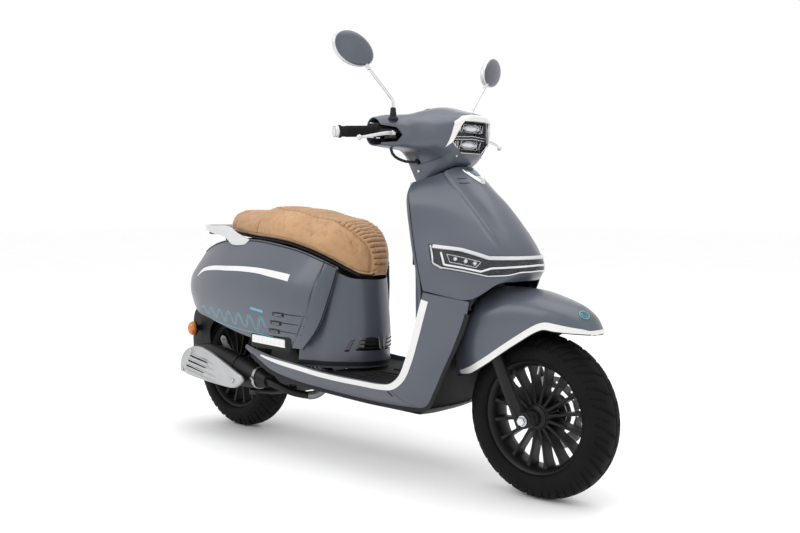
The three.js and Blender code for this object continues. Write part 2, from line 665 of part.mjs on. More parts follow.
// ---- seat -------------------------------------------------------------------------------
// Stations along the seat: x, bottom, top, half width.
const SEAT_STATIONS = [
  [58, 636, 668, 16], [50, 614, 704, 34], [34, 606, 738, 54], [8, 612, 763, 82],
  [-26, 634, 779, 112], [-62, 656, 788, 136], [-104, 674, 793, 148], [-150, 688, 799, 151],
  [-200, 699, 809, 151], [-256, 711, 822, 150], [-350, 721, 830, 145], [-442, 727, 830, 137],
  [-510, 732, 827, 125], [-584, 738, 828, 111], [-634, 746, 826, 95], [-652, 756, 814, 76],
];

// A crowned section with a flat bottom, from corner to corner.
function seatSection([x, bottom, top, half]) {
  const height = top - bottom;
  const side = [[0.9, 0], [1, 0.22], [1, 0.5], [0.93, 0.78], [0.72, 0.93], [0.4, 0.985]];
  const right = side.map(([y, z]) => new THREE.Vector3(x, -y * half, bottom + z * height));
  const left = side.map(([y, z]) => new THREE.Vector3(x, y * half, bottom + z * height)).reverse();
  return [...right, new THREE.Vector3(x, 0, top), ...left];
}

function seatPanSection([x, bottom, , half]) {
  const [low, high, y] = [bottom - 7, bottom - GAP, half - 18];
  return [[x, -y, low], [x, y, low], [x, y, high], [x, -y, high]].map(point);
}

function addSeat() {
  add("seat_cushion", loft(SEAT_STATIONS.map(seatSection)), "leather");
  add("seat_pan", loft(SEAT_STATIONS.slice(3, -2).map(seatPanSection)), "black_plastic");
}

// ---- engine unit ------------------------------------------------------------------------
function addEngine() {
  const { x, z, radius } = CRANKCASE;
  const crankcase = rod([x, -88, z], [x, 80, z], radius, 28);
  const slope = THREE.MathUtils.radToDeg(Math.atan2(z - TYRE_RADIUS, x - REAR_AXLE_X));
  const frontEnd = arcPoints(x, z, 82, 90 + slope, -90 + slope, 12);
  const rearEnd = arcPoints(REAR_AXLE_X, TYRE_RADIUS, 78, -90 + slope, -270 + slope, 12);
  const drive = sidePlate([...frontEnd, ...rearEnd], 72, 142);
  const shaft = rod([REAR_AXLE_X, 80, TYRE_RADIUS], [REAR_AXLE_X, -58, TYRE_RADIUS], AXLE_RADIUS, 14);
  const lug = rod([SWING_PIVOT.x, -36, SWING_PIVOT.z], [SWING_PIVOT.x, 36, SWING_PIVOT.z], 18, 18);
  const arm = sidePlate([[-300, 215], [-232, 214], [-226, 240], [-264, 249], [-300, 262]], -30, 30);
  const lugBore = rod([SWING_PIVOT.x, -50, SWING_PIVOT.z], [SWING_PIVOT.x, 50, SWING_PIVOT.z], 8 + GAP, 14);
  const shockTab = sidePlate([[-662, 290], [-655, 358], [-630, 362], [-615, 290]], 96, 106);
  const shockPin = rod([SHOCK_FOOT.x, 100, SHOCK_FOOT.z], [SHOCK_FOOT.x, 136, SHOCK_FOOT.z], 5, 12);
  const standTab = box(-359, -331, -38, 38, 173, 225);
  const standBore = rod([STAND_PIVOT.x, -45, STAND_PIVOT.z], [STAND_PIVOT.x, 45, STAND_PIVOT.z], 9 + GAP, 14);
  const kickBoss = rod([-420, 140, 290], [-420, 146, 290], 12, 14);
  const solid = join(crankcase, drive, shaft, lug, arm, shockTab, shockPin, standTab, kickBoss);
  add("engine_case", cut(solid, lugBore, standBore), "cast");
  add("cylinder", cylinderGeometry(), "cast");
  add("muffler", mufflerGeometry(), "black_metal");
  add("muffler_shield", mufflerShield(), "steel");
  const lever = tube([[-420, 152, 290], [-400, 153, 330], [-370, 156, 352], [-335, 160, 356]], 6, 10);
  const pedal = rod([-335, 150, 356], [-335, 177, 356], 8, 10);
  const hub = rod([-420, 146.5, 290], [-420, 160, 290], 13, 14);
  add("kick_lever", join(lever, pedal, hub), "steel");
}

function cylinderGeometry() {
  const { z, radius, front } = CYLINDER;
  const profile = [[0, -300]];
  for (let fin = -288; fin < front - 34; fin += 24) {
    profile.push([radius, fin], [radius, fin + 10], [radius - 9, fin + 10], [radius - 9, fin + 24]);
  }
  profile.push([radius - 6, front - 22], [radius - 6, front], [0, front]);
  const corners = profile.map(([r, x]) => new THREE.Vector2(r, x));
  const body = new THREE.LatheGeometry(corners, 12).rotateZ(-Math.PI / 2).translate(0, 0, z);
  const { x } = CRANKCASE;
  const seat = rod([x, -90, CRANKCASE.z], [x, 90, CRANKCASE.z], CRANKCASE.radius + GAP, 28);
  return cut(body, seat, box(-340, -262, -60, 60, 200, 400));
}

function ovalSection(x, y, z, halfY, halfZ, count = 14) {
  return Array.from({ length: count }, (_, i) => {
    const angle = (i / count) * 2 * Math.PI;
    return new THREE.Vector3(x, y + halfY * Math.cos(angle), z + halfZ * Math.sin(angle));
  });
}

// The silencer's ovals along its length: x, z, half width, half height.
const SILENCER_STATIONS = [
  [-792, 250, 30, 44], [-780, 252, 42, 58], [-700, 260, 46, 66], [-600, 257, 46, 64], [-500, 246, 43, 54],
  [-420, 236, 36, 42], [-352, 228, 20, 22],
];
const SILENCER_Y = -152;
const EXHAUST_PIPE = [
  [-185, -14, 262], [-187, -20, 225], [-210, -58, 186], [-260, -104, 190], [-310, -138, 212],
  [-365, SILENCER_Y, 228],
];
const EXHAUST_RADIUS = 13;

function mufflerGeometry() {
  const can = loft(
    SILENCER_STATIONS.map(([x, z, halfY, halfZ]) => ovalSection(x, SILENCER_Y, z, halfY, halfZ))
  );
  const pipe = tube(EXHAUST_PIPE, EXHAUST_RADIUS, 12);
  const headSpace = rod([-340, 0, CYLINDER.z], [-100, 0, CYLINDER.z], CYLINDER.radius + 3 * GAP, 24);
  return cut(join(can, pipe), headSpace);
}

const SHIELD_OUTLINE = [
  [-780, 238], [-768, 275], [-730, 308], [-665, 322], [-600, 312], [-520, 285], [-440, 252], [-416, 240],
  [-424, 222], [-455, 199], [-500, 196], [-600, 203], [-700, 212], [-760, 220],
];

function mufflerShield() {
  const slots = [0, 1, 2].map((i) => {
    const [x, z] = [-735 + 12 * i, 244 + 20 * i];
    return [[x, z], [x + 110, z - 14], [x + 111, z - 7], [x + 1, z + 7]];
  });
  return sidePlate(SHIELD_OUTLINE, -226, -222, slots);
}

// ---- shock, stands and footpegs -----------------------------------------------------------
function shockPoint(fraction) {
  const [a, b] = [SHOCK_TOP, SHOCK_FOOT];
  return [a.x + (b.x - a.x) * fraction, a.y, a.z + (b.z - a.z) * fraction];
}

function addShock() {
  const eye = ({ x, z }) => rod([x, 111, z], [x, 129, z], 15, 12);
  const hole = ({ x, z }, radius) => rod([x, 100, z], [x, 140, z], radius, 12);
  const cylinder = rod(shockPoint(0.05), shockPoint(0.62), 16, 12);
  const bore = rod(shockPoint(0.12), shockPoint(0.7), 6.5, 14);
  const springSeat = rod(shockPoint(0.1), shockPoint(0.13), 28, 14);
  const body = cut(join(cylinder, springSeat, eye(SHOCK_TOP)), bore, hole(SHOCK_TOP, 5 + GAP));
  add("shock_body", body, "black_metal");
  const stem = rod(shockPoint(0.42), shockPoint(0.95), 6, 14);
  const lowerSeat = rod(shockPoint(0.88), shockPoint(0.91), 28, 14);
  add("shock_rod", cut(join(stem, lowerSeat, eye(SHOCK_FOOT)), hole(SHOCK_FOOT, 9)), "chrome");
}

function addStands() {
  const { x, z } = STAND_PIVOT;
  const legs = [-1, 1].map((side) => {
    const y = side * 84;
    const path = [[x, y, z], [x - 60, y, z - 14], [x - 130, y, z - 20], [x - 172, y, z - 26]];
    return join(tube(path, 8.5, 6), box(x - 186, x - 150, y - 9, y + 9, z - 36, z - 20));
  });
  add("centre_stand", join(rod([x, -90, z], [x, 90, z], 9, 14), ...legs), "black_metal");
  const p = SIDE_STAND_PIVOT;
  const arm = tube([[p.x, 152, p.z], [p.x - 70, 154, p.z - 6], [p.x - 205, 158, p.z - 20]], 8, 8);
  const boss = rod(sideStandAxis(9.5), sideStandAxis(-8), 13, 14);
  const foot = box(p.x - 222, p.x - 196, 144, 172, p.z - 27, p.z - 18);
  add("side_stand", join(arm, boss, foot), "black_metal");
  const peg = footpegGeometry();
  add("footpeg_left", peg, "cream");
  add("footpeg_right", mirrored(peg), "cream");
}

function footpegGeometry() {
  const outline = [
    [-372, 372], [-366, 366], [-206, 362], [-200, 368], [-200, 390], [-206, 394], [-366, 396], [-372, 391],
  ];
  const bar = sidePlate(outline, 190, 207);
  const knuckle = rod([-194, 198.5, 366], [-194, 198.5, 392], 8, 14);
  return cut(join(bar, knuckle, box(-204, -194, 192, 205, 368, 390)), box(-196, -180, 150, 192, 355, 400));
}

// ---- handlebar ----------------------------------------------------------------------------
// The straight ends of the bar carry the grips.
function barPoint(y) {
  const out = Math.abs(y) - 230;
  return [246 - out * 0.425, y, 1054 - out * 0.045];
}

// Sections of the headset cover at one side distance, as [x, z] corners.
const COVER_SECTIONS = [
  [0, [372, 947], [310, 917], [250, 890], [228, 935], [214, 990], [212, 1060], [236, 1108],
    [304, 1136], [385, 1121], [450, 1097], [447, 1084], [440, 1040], [430, 995], [415, 968]],
  [35, [370, 947], [310, 917], [252, 891], [229, 935], [214, 990], [212, 1060], [236, 1107],
    [302, 1133], [380, 1119], [446, 1097], [443, 1085], [437, 1040], [428, 995], [411, 970]],
  [60, [352, 942], [310, 921], [265, 899], [236, 938], [215, 992], [212, 1060], [234, 1105],
    [296, 1127], [370, 1113], [437, 1089], [434, 1075], [431, 1040], [423, 1003], [395, 968]],
  [80, [345, 975], [305, 965], [262, 958], [238, 975], [214, 1000], [210, 1060], [232, 1103],
    [288, 1121], [355, 1107], [419, 1079], [420, 1067], [419, 1040], [410, 1008], [376, 984]],
  [110, [336, 999], [295, 997], [250, 996], [228, 1003], [211, 1020], [207, 1060], [226, 1100],
    [268, 1112], [322, 1099], [374, 1074], [383, 1060], [386, 1043], [382, 1021], [358, 1005]],
  [150, [300, 1008], [275, 1005], [240, 1005], [222, 1010], [208, 1026], [205, 1062], [220, 1098],
    [248, 1108], [280, 1098], [307, 1076], [315, 1060], [317, 1045], [315, 1028], [309, 1014]],
  [190, [285, 1011], [262, 1008], [236, 1008], [220, 1013], [206, 1028], [203, 1062], [217, 1096],
    [243, 1105], [268, 1096], [286, 1076], [292, 1060], [294, 1045], [293, 1030], [290, 1017]],
  [230, [262, 1014], [248, 1012], [232, 1012], [216, 1018], [205, 1032], [203, 1060], [214, 1088],
    [232, 1096], [248, 1090], [262, 1074], [266, 1060], [267, 1046], [267, 1032], [265, 1021]],
];

function coverSection([y, ...corners], side, inset, reach = 0) {
  const size = corners.length;
  return corners.map(([x, z], i) => {
    const [x0, z0] = corners[(i + size - 1) % size];
    const [x1, z1] = corners[(i + 1) % size];
    const normal = new THREE.Vector2(z1 - z0, x0 - x1).normalize();
    return new THREE.Vector3(x + normal.x * inset, side * (y + reach), z + normal.y * inset);
  });
}

function coverLoft(inset, reach) {
  const halves = COVER_SECTIONS.slice(1);
  const last = halves.length - 1;
  const right = halves.map((s, i) => coverSection(s, -1, inset, i === last ? reach : 0)).reverse();
  const left = halves.map((s, i) => coverSection(s, 1, inset, i === last ? reach : 0));
  return loft([...right, coverSection(COVER_SECTIONS[0], 1, inset), ...left]);
}

const LAMP_TILT = 12.4 * THREE.MathUtils.DEG2RAD;

// The six-sided lamp body, grown by a clearance.
function lampPrism(depth, grow) {
  const outline = [[-84, -16], [-56, 46], [56, 46], [84, -16], [50, -46], [-50, -46]];
  const scale = 1 + grow / 50;
  const prism = frontPrism(outline.map(([y, z]) => [y * scale, z * scale]), -depth, grow * 20);
  return prism.rotateY(LAMP_TILT).translate(424, 0, 1038);
}

// The instrument panel's block, which faces up and back, grown by a clearance.
function panelBlock(grow) {
  const block = new THREE.BoxGeometry(78 + 2 * grow, 124 + 2 * grow, 20 + 8 * grow);
  return block.rotateY(-22 * THREE.MathUtils.DEG2RAD).translate(264, 0, 1108);
}

function addHeadset() {
  const neck = rod([340, 0, 860], [282, 0, 976], 50, 20);
  const cutters = [coverLoft(3.5, 8), neck, lampPrism(60, 1), panelBlock(1)];
  for (const side of [-1, 1]) {
    const [y0, y1] = [172, 224].map((y) => side * y).sort((a, b) => a - b);
    cutters.push(box(190, 232, y0, y1, 1038, 1082));
    const [p0, p1] = [190, 234].map((y) => side * y).sort((a, b) => a - b);
    cutters.push(box(262, 330, p0, p1, 1026, 1062));
  }
  for (const side of [-1, 1]) {
    cutters.push(...hosePoints(side).holes);
  }
  const bosses = [-1, 1].map((side) => rod([275, side * 190, 1066], [275, side * 190, 1099.4], 11, 16));
  add("headset_cover", cut(join(coverLoft(0, 0), ...bosses), ...cutters), "paint");
  add("headlight_unit", lampPrism(52, 0), "lens");
  add("instrument_panel", panelBlock(0), "black_plastic");
}

// The hose that hangs in a short loop between the lever's perch and the neck.
function hosePoints(side) {
  const route = [[270, 172, 1052], [256, 172, 1022], [249, 171, 1002], [252, 160, 984], [262, 134, 971],
    [274, 108, 967], [281, 86, 969], [276, 62, 984], [264, 34, 1010], [250, 10, 1028]];
  const place = ([x, y, z]) => [x, side * y, z];
  const holes = [
    rod(place([256, 172, 1028]), place([247, 171, 994]), 7.5, 14),
    rod(place([269.5, 122, 965.7]), place([286, 70, 970.4]), 8, 14),
  ];
  return { route: route.map(place), holes };
}

function addHandlebar() {
  const path = [
    ...[-344, -230, -164, -150].map(barPoint),
    [276, -120, 1050], [262, -50, 1036], [256, 0, 1032], [262, 50, 1036], [276, 120, 1050],
    ...[150, 164, 230, 344].map(barPoint),
  ];
  const clampLow = steeringPoint(-STEM_TOP - GAP);
  const clampHigh = steeringPoint(-120);
  const parts = [tube(path, BAR_RADIUS, 22, 9), rod(clampLow, clampHigh, 21, 14)];
  for (const side of [-1, 1]) {
    parts.push(rod(barPoint(side * 342), barPoint(side * 353), 15.5, 14));
    parts.push(rod(barPoint(side * 200), [276, side * 208, 1038], 6, 8));
    parts.push(box(268, 299, side * 212 - 8, side * 212 + 8, 1033, 1040.5));
    parts.push(tube(hosePoints(side).route, 4.5, 20));
  }
  add("handlebar", join(...parts), "black_metal");
  for (const [name, side] of [["throttle_grip", -1], ["grip_left", 1]]) {
    add(name, gripGeometry(side), "rubber");
  }
}

function gripGeometry(side) {
  const sleeve = rod(barPoint(side * GRIP_START), barPoint(side * GRIP_END), 16.5, 16);
  const flange = rod(barPoint(side * GRIP_START), barPoint(side * (GRIP_START + 5)), 20, 16);
  const [boreStart, boreEnd] = [barPoint(side * (GRIP_START - 8)), barPoint(side * (GRIP_END + 8))];
  const bore = rod(boreStart, boreEnd, BAR_RADIUS + 2 * GAP, 16);
  return cut(join(sleeve, flange), bore);
}

function podGeometry(side, ...pockets) {
  const [y0, y1] = [174.5, 221.5].map((y) => side * y).sort((a, b) => a - b);
  const barrel = rod(barPoint(side * 176), barPoint(side * 228), 16, 18);
  const face = box(199, 246, y0, y1, 1040.5, 1079.5);
  const bore = rod(barPoint(side * 160), barPoint(side * 240), BAR_RADIUS + 2 * GAP, 16);
  const perch = box(258, 300, side * 212 - 40, side * 212 + 40, 1020, 1070);
  return cut(join(barrel, face), bore, perch, ...pockets);
}

function addControls() {
  add("switch_pod_right", podGeometry(-1, rod([190, -198, 1060], [208, -198, 1060], 8, 16)), "black_plastic");
  const hornPocket = rod([190, 206, 1050], [208, 206, 1050], 7.5, 16);
  const signalSlot = box(190, 208, 178, 212, 1063, 1075);
  add("switch_pod_left", podGeometry(1, hornPocket, signalSlot), "black_plastic");
  add("starter_button", rod([193, -198, 1060], [203, -198, 1060], 7.4, 16), "red");
  add("horn_button", rod([193, 206, 1050], [203, 206, 1050], 6.9, 16), "black_plastic");
  add("turn_switch", box(192, 207, 189, 201, 1064, 1074), "black_plastic");
  for (const [name, side] of [["brake_lever_right", -1], ["brake_lever_left", 1]]) {
    add(name, leverGeometry(side), "steel");
  }
  addMirrors();
}

function leverGeometry(side) {
  const route = [[292, 212, 1046], [300, 240, 1045], [297, 285, 1038], [278, 333, 1029]];
  const blade = tube(route.map(([x, y, z]) => [x, side * y, z]), 5, 8);
  const root = rod([292, side * 212, 1042], [292, side * 212, 1050], 9, 14);
  return join(root, blade, ball(277, side * 335, 1028, 8.5));
}

const MIRROR_BALL = [260, 279, 1231];
const MIRROR_BALL_RADIUS = 7;
const MIRROR_CENTRE = [250, 327, 1281];
const MIRROR_YAW = 12.4 * THREE.MathUtils.DEG2RAD;
const MIRROR_LEAN = 20.8 * THREE.MathUtils.DEG2RAD;

// An egg-shaped head, wide across and leaning down to its ball joint.
function mirrorHead() {
  const head = new THREE.SphereGeometry(1, 14, 9).scale(16, 77, 51).rotateX(MIRROR_LEAN);
  return head.rotateZ(MIRROR_YAW).translate(...MIRROR_CENTRE);
}

function addMirrors() {
  const [x, y, z] = MIRROR_BALL;
  const collar = rod([275, 190, 1100], [275, 190, 1124], 9, 14);
  const route = [[275, 190, 1110], [275, 190, 1140], [271, 212, 1168], [265, 250, 1203], MIRROR_BALL];
  const stem = join(collar, tube(route, 4.6, 12), ball(x, y, z, MIRROR_BALL_RADIUS));
  const glassCut = new THREE.BoxGeometry(40, 220, 160).translate(-28, 0, 0);
  glassCut.rotateZ(MIRROR_YAW).translate(...MIRROR_CENTRE);
  const socket = ball(x, y, z, MIRROR_BALL_RADIUS + GAP);
  const head = cut(mirrorHead(), socket, glassCut, neckSpace());
  add("mirror_stem_left", stem, "chrome");
  add("mirror_stem_right", mirrored(stem), "chrome");
  add("mirror_head_left", head, "paint");
  add("mirror_head_right", mirrored(head), "paint");
}

// Room for the mirror's arm to lean in the head's socket.
function neckSpace() {
  const [x, y, z] = MIRROR_BALL;
  return rod(MIRROR_BALL, [x + 4, y - 24, z - 22], MIRROR_BALL_RADIUS + GAP, 12);
}

addFrame();
addFrontBody();
addLowerBody();
addRearBody();
addSeat();
addWheels();
addFork();
addFender();
addEngine();
addShock();
addStands();
addHeadset();
addHandlebar();
addControls();

export default model;
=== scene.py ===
# Looks of a moped scooter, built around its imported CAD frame.
# Shapes are drawn in millimetres in the frame's own axes and scaled to metres as meshes are made.
import math

import bmesh
import bpy
import numpy as np
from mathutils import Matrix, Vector
from mathutils.bvhtree import BVHTree


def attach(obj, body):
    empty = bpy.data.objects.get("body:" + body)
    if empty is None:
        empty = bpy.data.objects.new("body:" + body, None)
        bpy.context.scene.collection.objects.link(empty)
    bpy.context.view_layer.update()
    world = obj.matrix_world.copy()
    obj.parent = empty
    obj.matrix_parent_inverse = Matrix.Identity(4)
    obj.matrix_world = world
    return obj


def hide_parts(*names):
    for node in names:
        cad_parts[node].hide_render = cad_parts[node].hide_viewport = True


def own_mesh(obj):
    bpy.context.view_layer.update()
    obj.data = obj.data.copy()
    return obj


MM = 0.001
TYRE_RADIUS = 236.5
FRONT_AXLE = (680.5, 0, TYRE_RADIUS)
REAR_AXLE = (-673.5, 0, TYRE_RADIUS)
SIDES = (("right", -1), ("left", 1))

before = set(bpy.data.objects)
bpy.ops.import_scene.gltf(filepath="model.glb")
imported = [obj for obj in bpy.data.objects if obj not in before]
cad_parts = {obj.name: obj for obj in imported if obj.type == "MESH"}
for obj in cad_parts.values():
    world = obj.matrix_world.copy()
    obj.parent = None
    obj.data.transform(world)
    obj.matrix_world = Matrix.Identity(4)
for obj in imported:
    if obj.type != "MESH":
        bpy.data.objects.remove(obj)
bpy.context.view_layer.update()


# ---- camera -------------------------------------------------------------------------------
AZIMUTH, ELEVATION = math.radians(42.2), math.radians(3.55)
STANDPOINT = (2.1467, -2.2242, 0.8265)
FOCAL_LENGTH, SENSOR = 41.9, 36


def make_camera():
    data = bpy.data.cameras.new("camera")
    data.sensor_width = SENSOR
    data.lens = FOCAL_LENGTH
    data.clip_end = 200
    camera = bpy.data.objects.new("camera", data)
    camera.location = STANDPOINT
    back = Vector((
        math.sin(AZIMUTH) * math.cos(ELEVATION),
        -math.cos(AZIMUTH) * math.cos(ELEVATION),
        math.sin(ELEVATION),
    ))
    camera.rotation_euler = (-back).to_track_quat("-Z", "Y").to_euler()
    bpy.context.scene.collection.objects.link(camera)
    bpy.context.scene.camera = camera


make_camera()


# ---- curves and grids ----------------------------------------------------------------------
def spline(points, count, closed=False):
    """Centripetal Catmull-Rom curve through the points, as `count` points."""
    p = np.asarray(points, float)
    p = np.vstack([p[-1], p, p[0], p[1]]) if closed else np.vstack([2 * p[0] - p[1], p, 2 * p[-1] - p[-2]])
    last = len(p) - 3
    t = np.linspace(0, last, count, endpoint=not closed)
    i = np.minimum(t.astype(int), last - 1)
    f = (t - i)[:, None]
    p0, p1, p2, p3 = p[i], p[i + 1], p[i + 2], p[i + 3]
    d0, d1, d2 = (
        np.sqrt(np.maximum(np.linalg.norm(b - a, axis=1), 1e-6))[:, None]
        for a, b in ((p0, p1), (p1, p2), (p2, p3))
    )
    m1 = ((p1 - p0) / d0 - (p2 - p0) / (d0 + d1) + (p2 - p1) / d1) * d1
    m2 = ((p2 - p1) / d1 - (p3 - p1) / (d1 + d2) + (p3 - p2) / d2) * d1
    return (
        (2 * f**3 - 3 * f**2 + 1) * p1 + (f**3 - 2 * f**2 + f) * m1
        + (3 * f**2 - 2 * f**3) * p2 + (f**3 - f**2) * m2
    )


def polyline(points, count):
    """Straight runs between the points, as `count` points spaced evenly along them."""
    p = np.asarray(points, float)
    length = run_so_far(p)
    t = np.linspace(0, length[-1], count)
    return np.stack([np.interp(t, length, p[:, k]) for k in range(p.shape[1])], axis=1)


def run_so_far(points):
    """The distance run along the points, at each of them."""
    steps = np.diff(np.asarray(points, float), axis=0)
    return np.concatenate([[0], np.cumsum(np.linalg.norm(steps, axis=1))])


def whole(half):
    """A row across the body from a half row that runs from its left edge to the middle."""
    half = np.array(half, float)
    return np.vstack([half * [1, -1, 1], half[:-1][::-1]])


def grid_of(rows, along, across):
    fine = np.array([spline(row, across) for row in rows])
    return np.stack([spline(fine[:, j], along) for j in range(across)], axis=1)


def unit(v):
    v = np.asarray(v, float)
    return v / np.maximum(np.linalg.norm(v, axis=-1, keepdims=True), 1e-9)


def normals_of(grid, inside):
    n = unit(np.cross(np.gradient(grid, axis=0), np.gradient(grid, axis=1)))
    mid = (grid.shape[0] // 2, grid.shape[1] // 2)
    return n if np.dot(n[mid], grid[mid] - np.array(inside)) > 0 else -n


def smooth_step(x):
    x = np.clip(x, 0, 1)
    return x * x * (3 - 2 * x)


def full_turn(count):
    return np.arange(count) / count * 2 * math.pi


def flipped(points, side):
    """The points, or their mirror image on the right (side -1)."""
    return np.asarray(points, float) * [1, side, 1]


# ---- shapes: each is (vertices, faces) -------------------------------------------------------
def slab(outer, inner):
    """A closed sheet between two grids of the same size."""
    rows, cols = outer.shape[:2]
    count = rows * cols
    faces = []
    for i in range(rows - 1):
        for j in range(cols - 1):
            a = i * cols + j
            faces.append((a, a + 1, a + cols + 1, a + cols))
            faces.append((count + a, count + a + cols, count + a + cols + 1, count + a + 1))
    rim = list(range(cols - 1)) + [i * cols + cols - 1 for i in range(rows - 1)]
    rim += [(rows - 1) * cols + j for j in range(cols - 1, 0, -1)]
    rim += [i * cols for i in range(rows - 1, 0, -1)]
    for a, b in zip(rim, rim[1:] + rim[:1]):
        faces.append((b, a, count + a, count + b))
    return np.vstack([outer.reshape(-1, 3), inner.reshape(-1, 3)]), faces


def skinned(grid, inside, thickness=3.0, lift=0.0):
    n = normals_of(grid, inside)
    return slab(grid + n * lift, grid + n * (lift - thickness))


def rings(sections, caps=True, closed=False):
    """A surface through rings of equal size, with flat ends or joined end to end."""
    sections = np.asarray(sections, float)
    count, size = sections.shape[:2]
    faces = []
    for i in range(count if closed else count - 1):
        k = (i + 1) % count
        for j in range(size):
            m = (j + 1) % size
            faces.append((i * size + j, i * size + m, k * size + m, k * size + j))
    if caps and not closed:
        faces.append(tuple(range(size))[::-1])
        faces.append(tuple((count - 1) * size + j for j in range(size)))
    return sections.reshape(-1, 3), faces


def basis(axis):
    axis = unit(axis)
    helper = np.array([0, 0, 1.0]) if abs(axis[2]) < 0.9 else np.array([1.0, 0, 0])
    u = unit(np.cross(helper, axis))
    return axis, u, np.cross(axis, u)


def lathe(profile, origin, axis, segments=48, ring=False):
    """Turns (distance along the axis, radius) corners about an axis. A ring closes on itself."""
    a, u, v = basis(axis)
    angle = full_turn(segments)
    turn = np.cos(angle)[:, None] * u + np.sin(angle)[:, None] * v
    sections = [np.array(origin, float) + a * along + turn * max(radius, 0.01) for along, radius in profile]
    return rings(sections, caps=not ring, closed=ring)


def rod(start, end, radius, segments=24):
    length = float(np.linalg.norm(np.subtract(end, start)))
    return lathe([(0, radius), (length, radius)], start, np.subtract(end, start), segments)


def circle(radius, sides=16):
    angle = full_turn(sides)
    return np.stack([radius * np.cos(angle), radius * np.sin(angle)], axis=1)


def rounded_rect(width, height, radius, steps=4):
    corners = []
    for cx, cy, start in ((1, 1, 0), (-1, 1, 90), (-1, -1, 180), (1, -1, 270)):
        for k in range(steps + 1):
            angle = math.radians(start + 90 * k / steps)
            corners.append((
                cx * (width / 2 - radius) + radius * math.cos(angle),
                cy * (height / 2 - radius) + radius * math.sin(angle),
            ))
    return np.array(corners)


def sweep(path, profile, scale=None, up=(0, 0, 1), closed=False):
    """Carries a (side, up) profile along a path; `scale` gives its size at each share of the path."""
    path = np.asarray(path, float)
    if closed:
        tangent = unit(np.roll(path, -1, axis=0) - np.roll(path, 1, axis=0))
    else:
        tangent = unit(np.gradient(path, axis=0))
    sections = []
    for i, (p, t) in enumerate(zip(path, tangent)):
        side = unit(np.cross(t, up))
        rise = np.cross(side, t)
        size = 1.0 if scale is None else scale(i / (len(path) - 1))
        ring = profile * size
        sections.append(p + ring[:, :1] * side + ring[:, 1:] * rise)
    return rings(sections, closed=closed)


def extrude(outline, place, low, high):
    """A prism on a 2D outline; place(u, v, w) gives the point at depth w."""
    sections = [[place(u, v, w) for u, v in outline] for w in (low, high)]
    return rings(sections)


def across_front(u, v, w):
    return w, u, v


def across_side(u, v, w):
    return u, w, v


def ball(centre, radius, segments=24):
    steps = [math.pi * k / 12 for k in range(13)]
    profile = [(-radius * math.cos(a), radius * math.sin(a)) for a in steps]
    return lathe(profile, centre, (0, 0, 1), segments)


def bolt(at, direction, radius):
    """A domed screw with a sunk socket."""
    r = radius
    head = [(0.35, 1), (0.62, 0.85), (0.75, 0.5), (0.3, 0.42), (0.3, 0)]
    return lathe([(-1, 0), (-1, r)] + [(r * a, r * b) for a, b in head], at, direction, 20)


def shell_between(outline, place, thickness, dome, rows=14):
    """A plate that fills an outline and curves back by `dome` towards its edge."""
    outline = np.asarray(outline, float)
    centre = outline.mean(axis=0)
    front, back = [], []
    for k in range(rows + 1):
        t = max(k / rows, 0.004)
        ring = centre + (outline - centre) * t
        front.append([place(u, v, -dome * t**4) for u, v in ring])
        back.append([place(u, v, -dome * (k / rows) ** 4 - thickness) for u, v in ring])
    return rings(front + back[::-1])


# ---- objects ----------------------------------------------------------------------------------
def make(name, shapes, material, body, slot=None, bevel=0.0, smooth=True, replaces=(), segments=2, angle=35):
    """One mesh object from several shapes, riding on a body of the frame."""
    bm = bmesh.new()
    for vertices, faces in shapes:
        made = [bm.verts.new(Vector(v) * MM) for v in np.asarray(vertices, float)]
        for face in faces:
            bm.faces.new([made[i] for i in face])
    bmesh.ops.remove_doubles(bm, verts=bm.verts, dist=1e-6)
    bmesh.ops.recalc_face_normals(bm, faces=bm.faces)
    mesh = bpy.data.meshes.new(name)
    bm.to_mesh(mesh)
    bm.free()
    mesh.polygons.foreach_set("use_smooth", [smooth] * len(mesh.polygons))
    piece = bpy.data.objects.new(name, mesh)
    bpy.context.scene.collection.objects.link(piece)
    mesh.materials.append(material)
    if bevel:
        add_bevel(piece, bevel, segments, angle)
    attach(piece, body)
    slot = slot or SLOT_OF[material.name]
    if replaces:
        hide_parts(*replaces)
    return piece


def add_bevel(piece, width, segments=2, angle=35):
    bevel = piece.modifiers.new("edges", "BEVEL")
    bevel.width = width * MM
    bevel.segments = segments
    bevel.limit_method = "ANGLE"
    bevel.angle_limit = math.radians(angle)
    bevel.harden_normals = True


def carve(piece, cutters):
    """Cuts shapes out of a piece and keeps the result as its mesh."""
    tools = []
    for k, shape in enumerate(cutters):
        tool = make(f"cutter_{k}", [shape], piece.data.materials[0], "chassis")
        tools.append(tool)
        cut = piece.modifiers.new("cut", "BOOLEAN")
        cut.object = tool
        cut.solver = "EXACT"
        piece.modifiers.move(len(piece.modifiers) - 1, k)
    edges = [m for m in piece.modifiers if m.type == "BEVEL"]
    for m in edges:
        m.show_viewport = False
    bpy.context.view_layer.update()
    graph = bpy.context.evaluated_depsgraph_get()
    mesh = bpy.data.meshes.new_from_object(piece.evaluated_get(graph))
    for m in list(piece.modifiers):
        if m.type == "BOOLEAN":
            piece.modifiers.remove(m)
    piece.data = mesh
    for m in edges:
        m.show_viewport = True
    for tool in tools:
        bpy.data.objects.remove(tool)


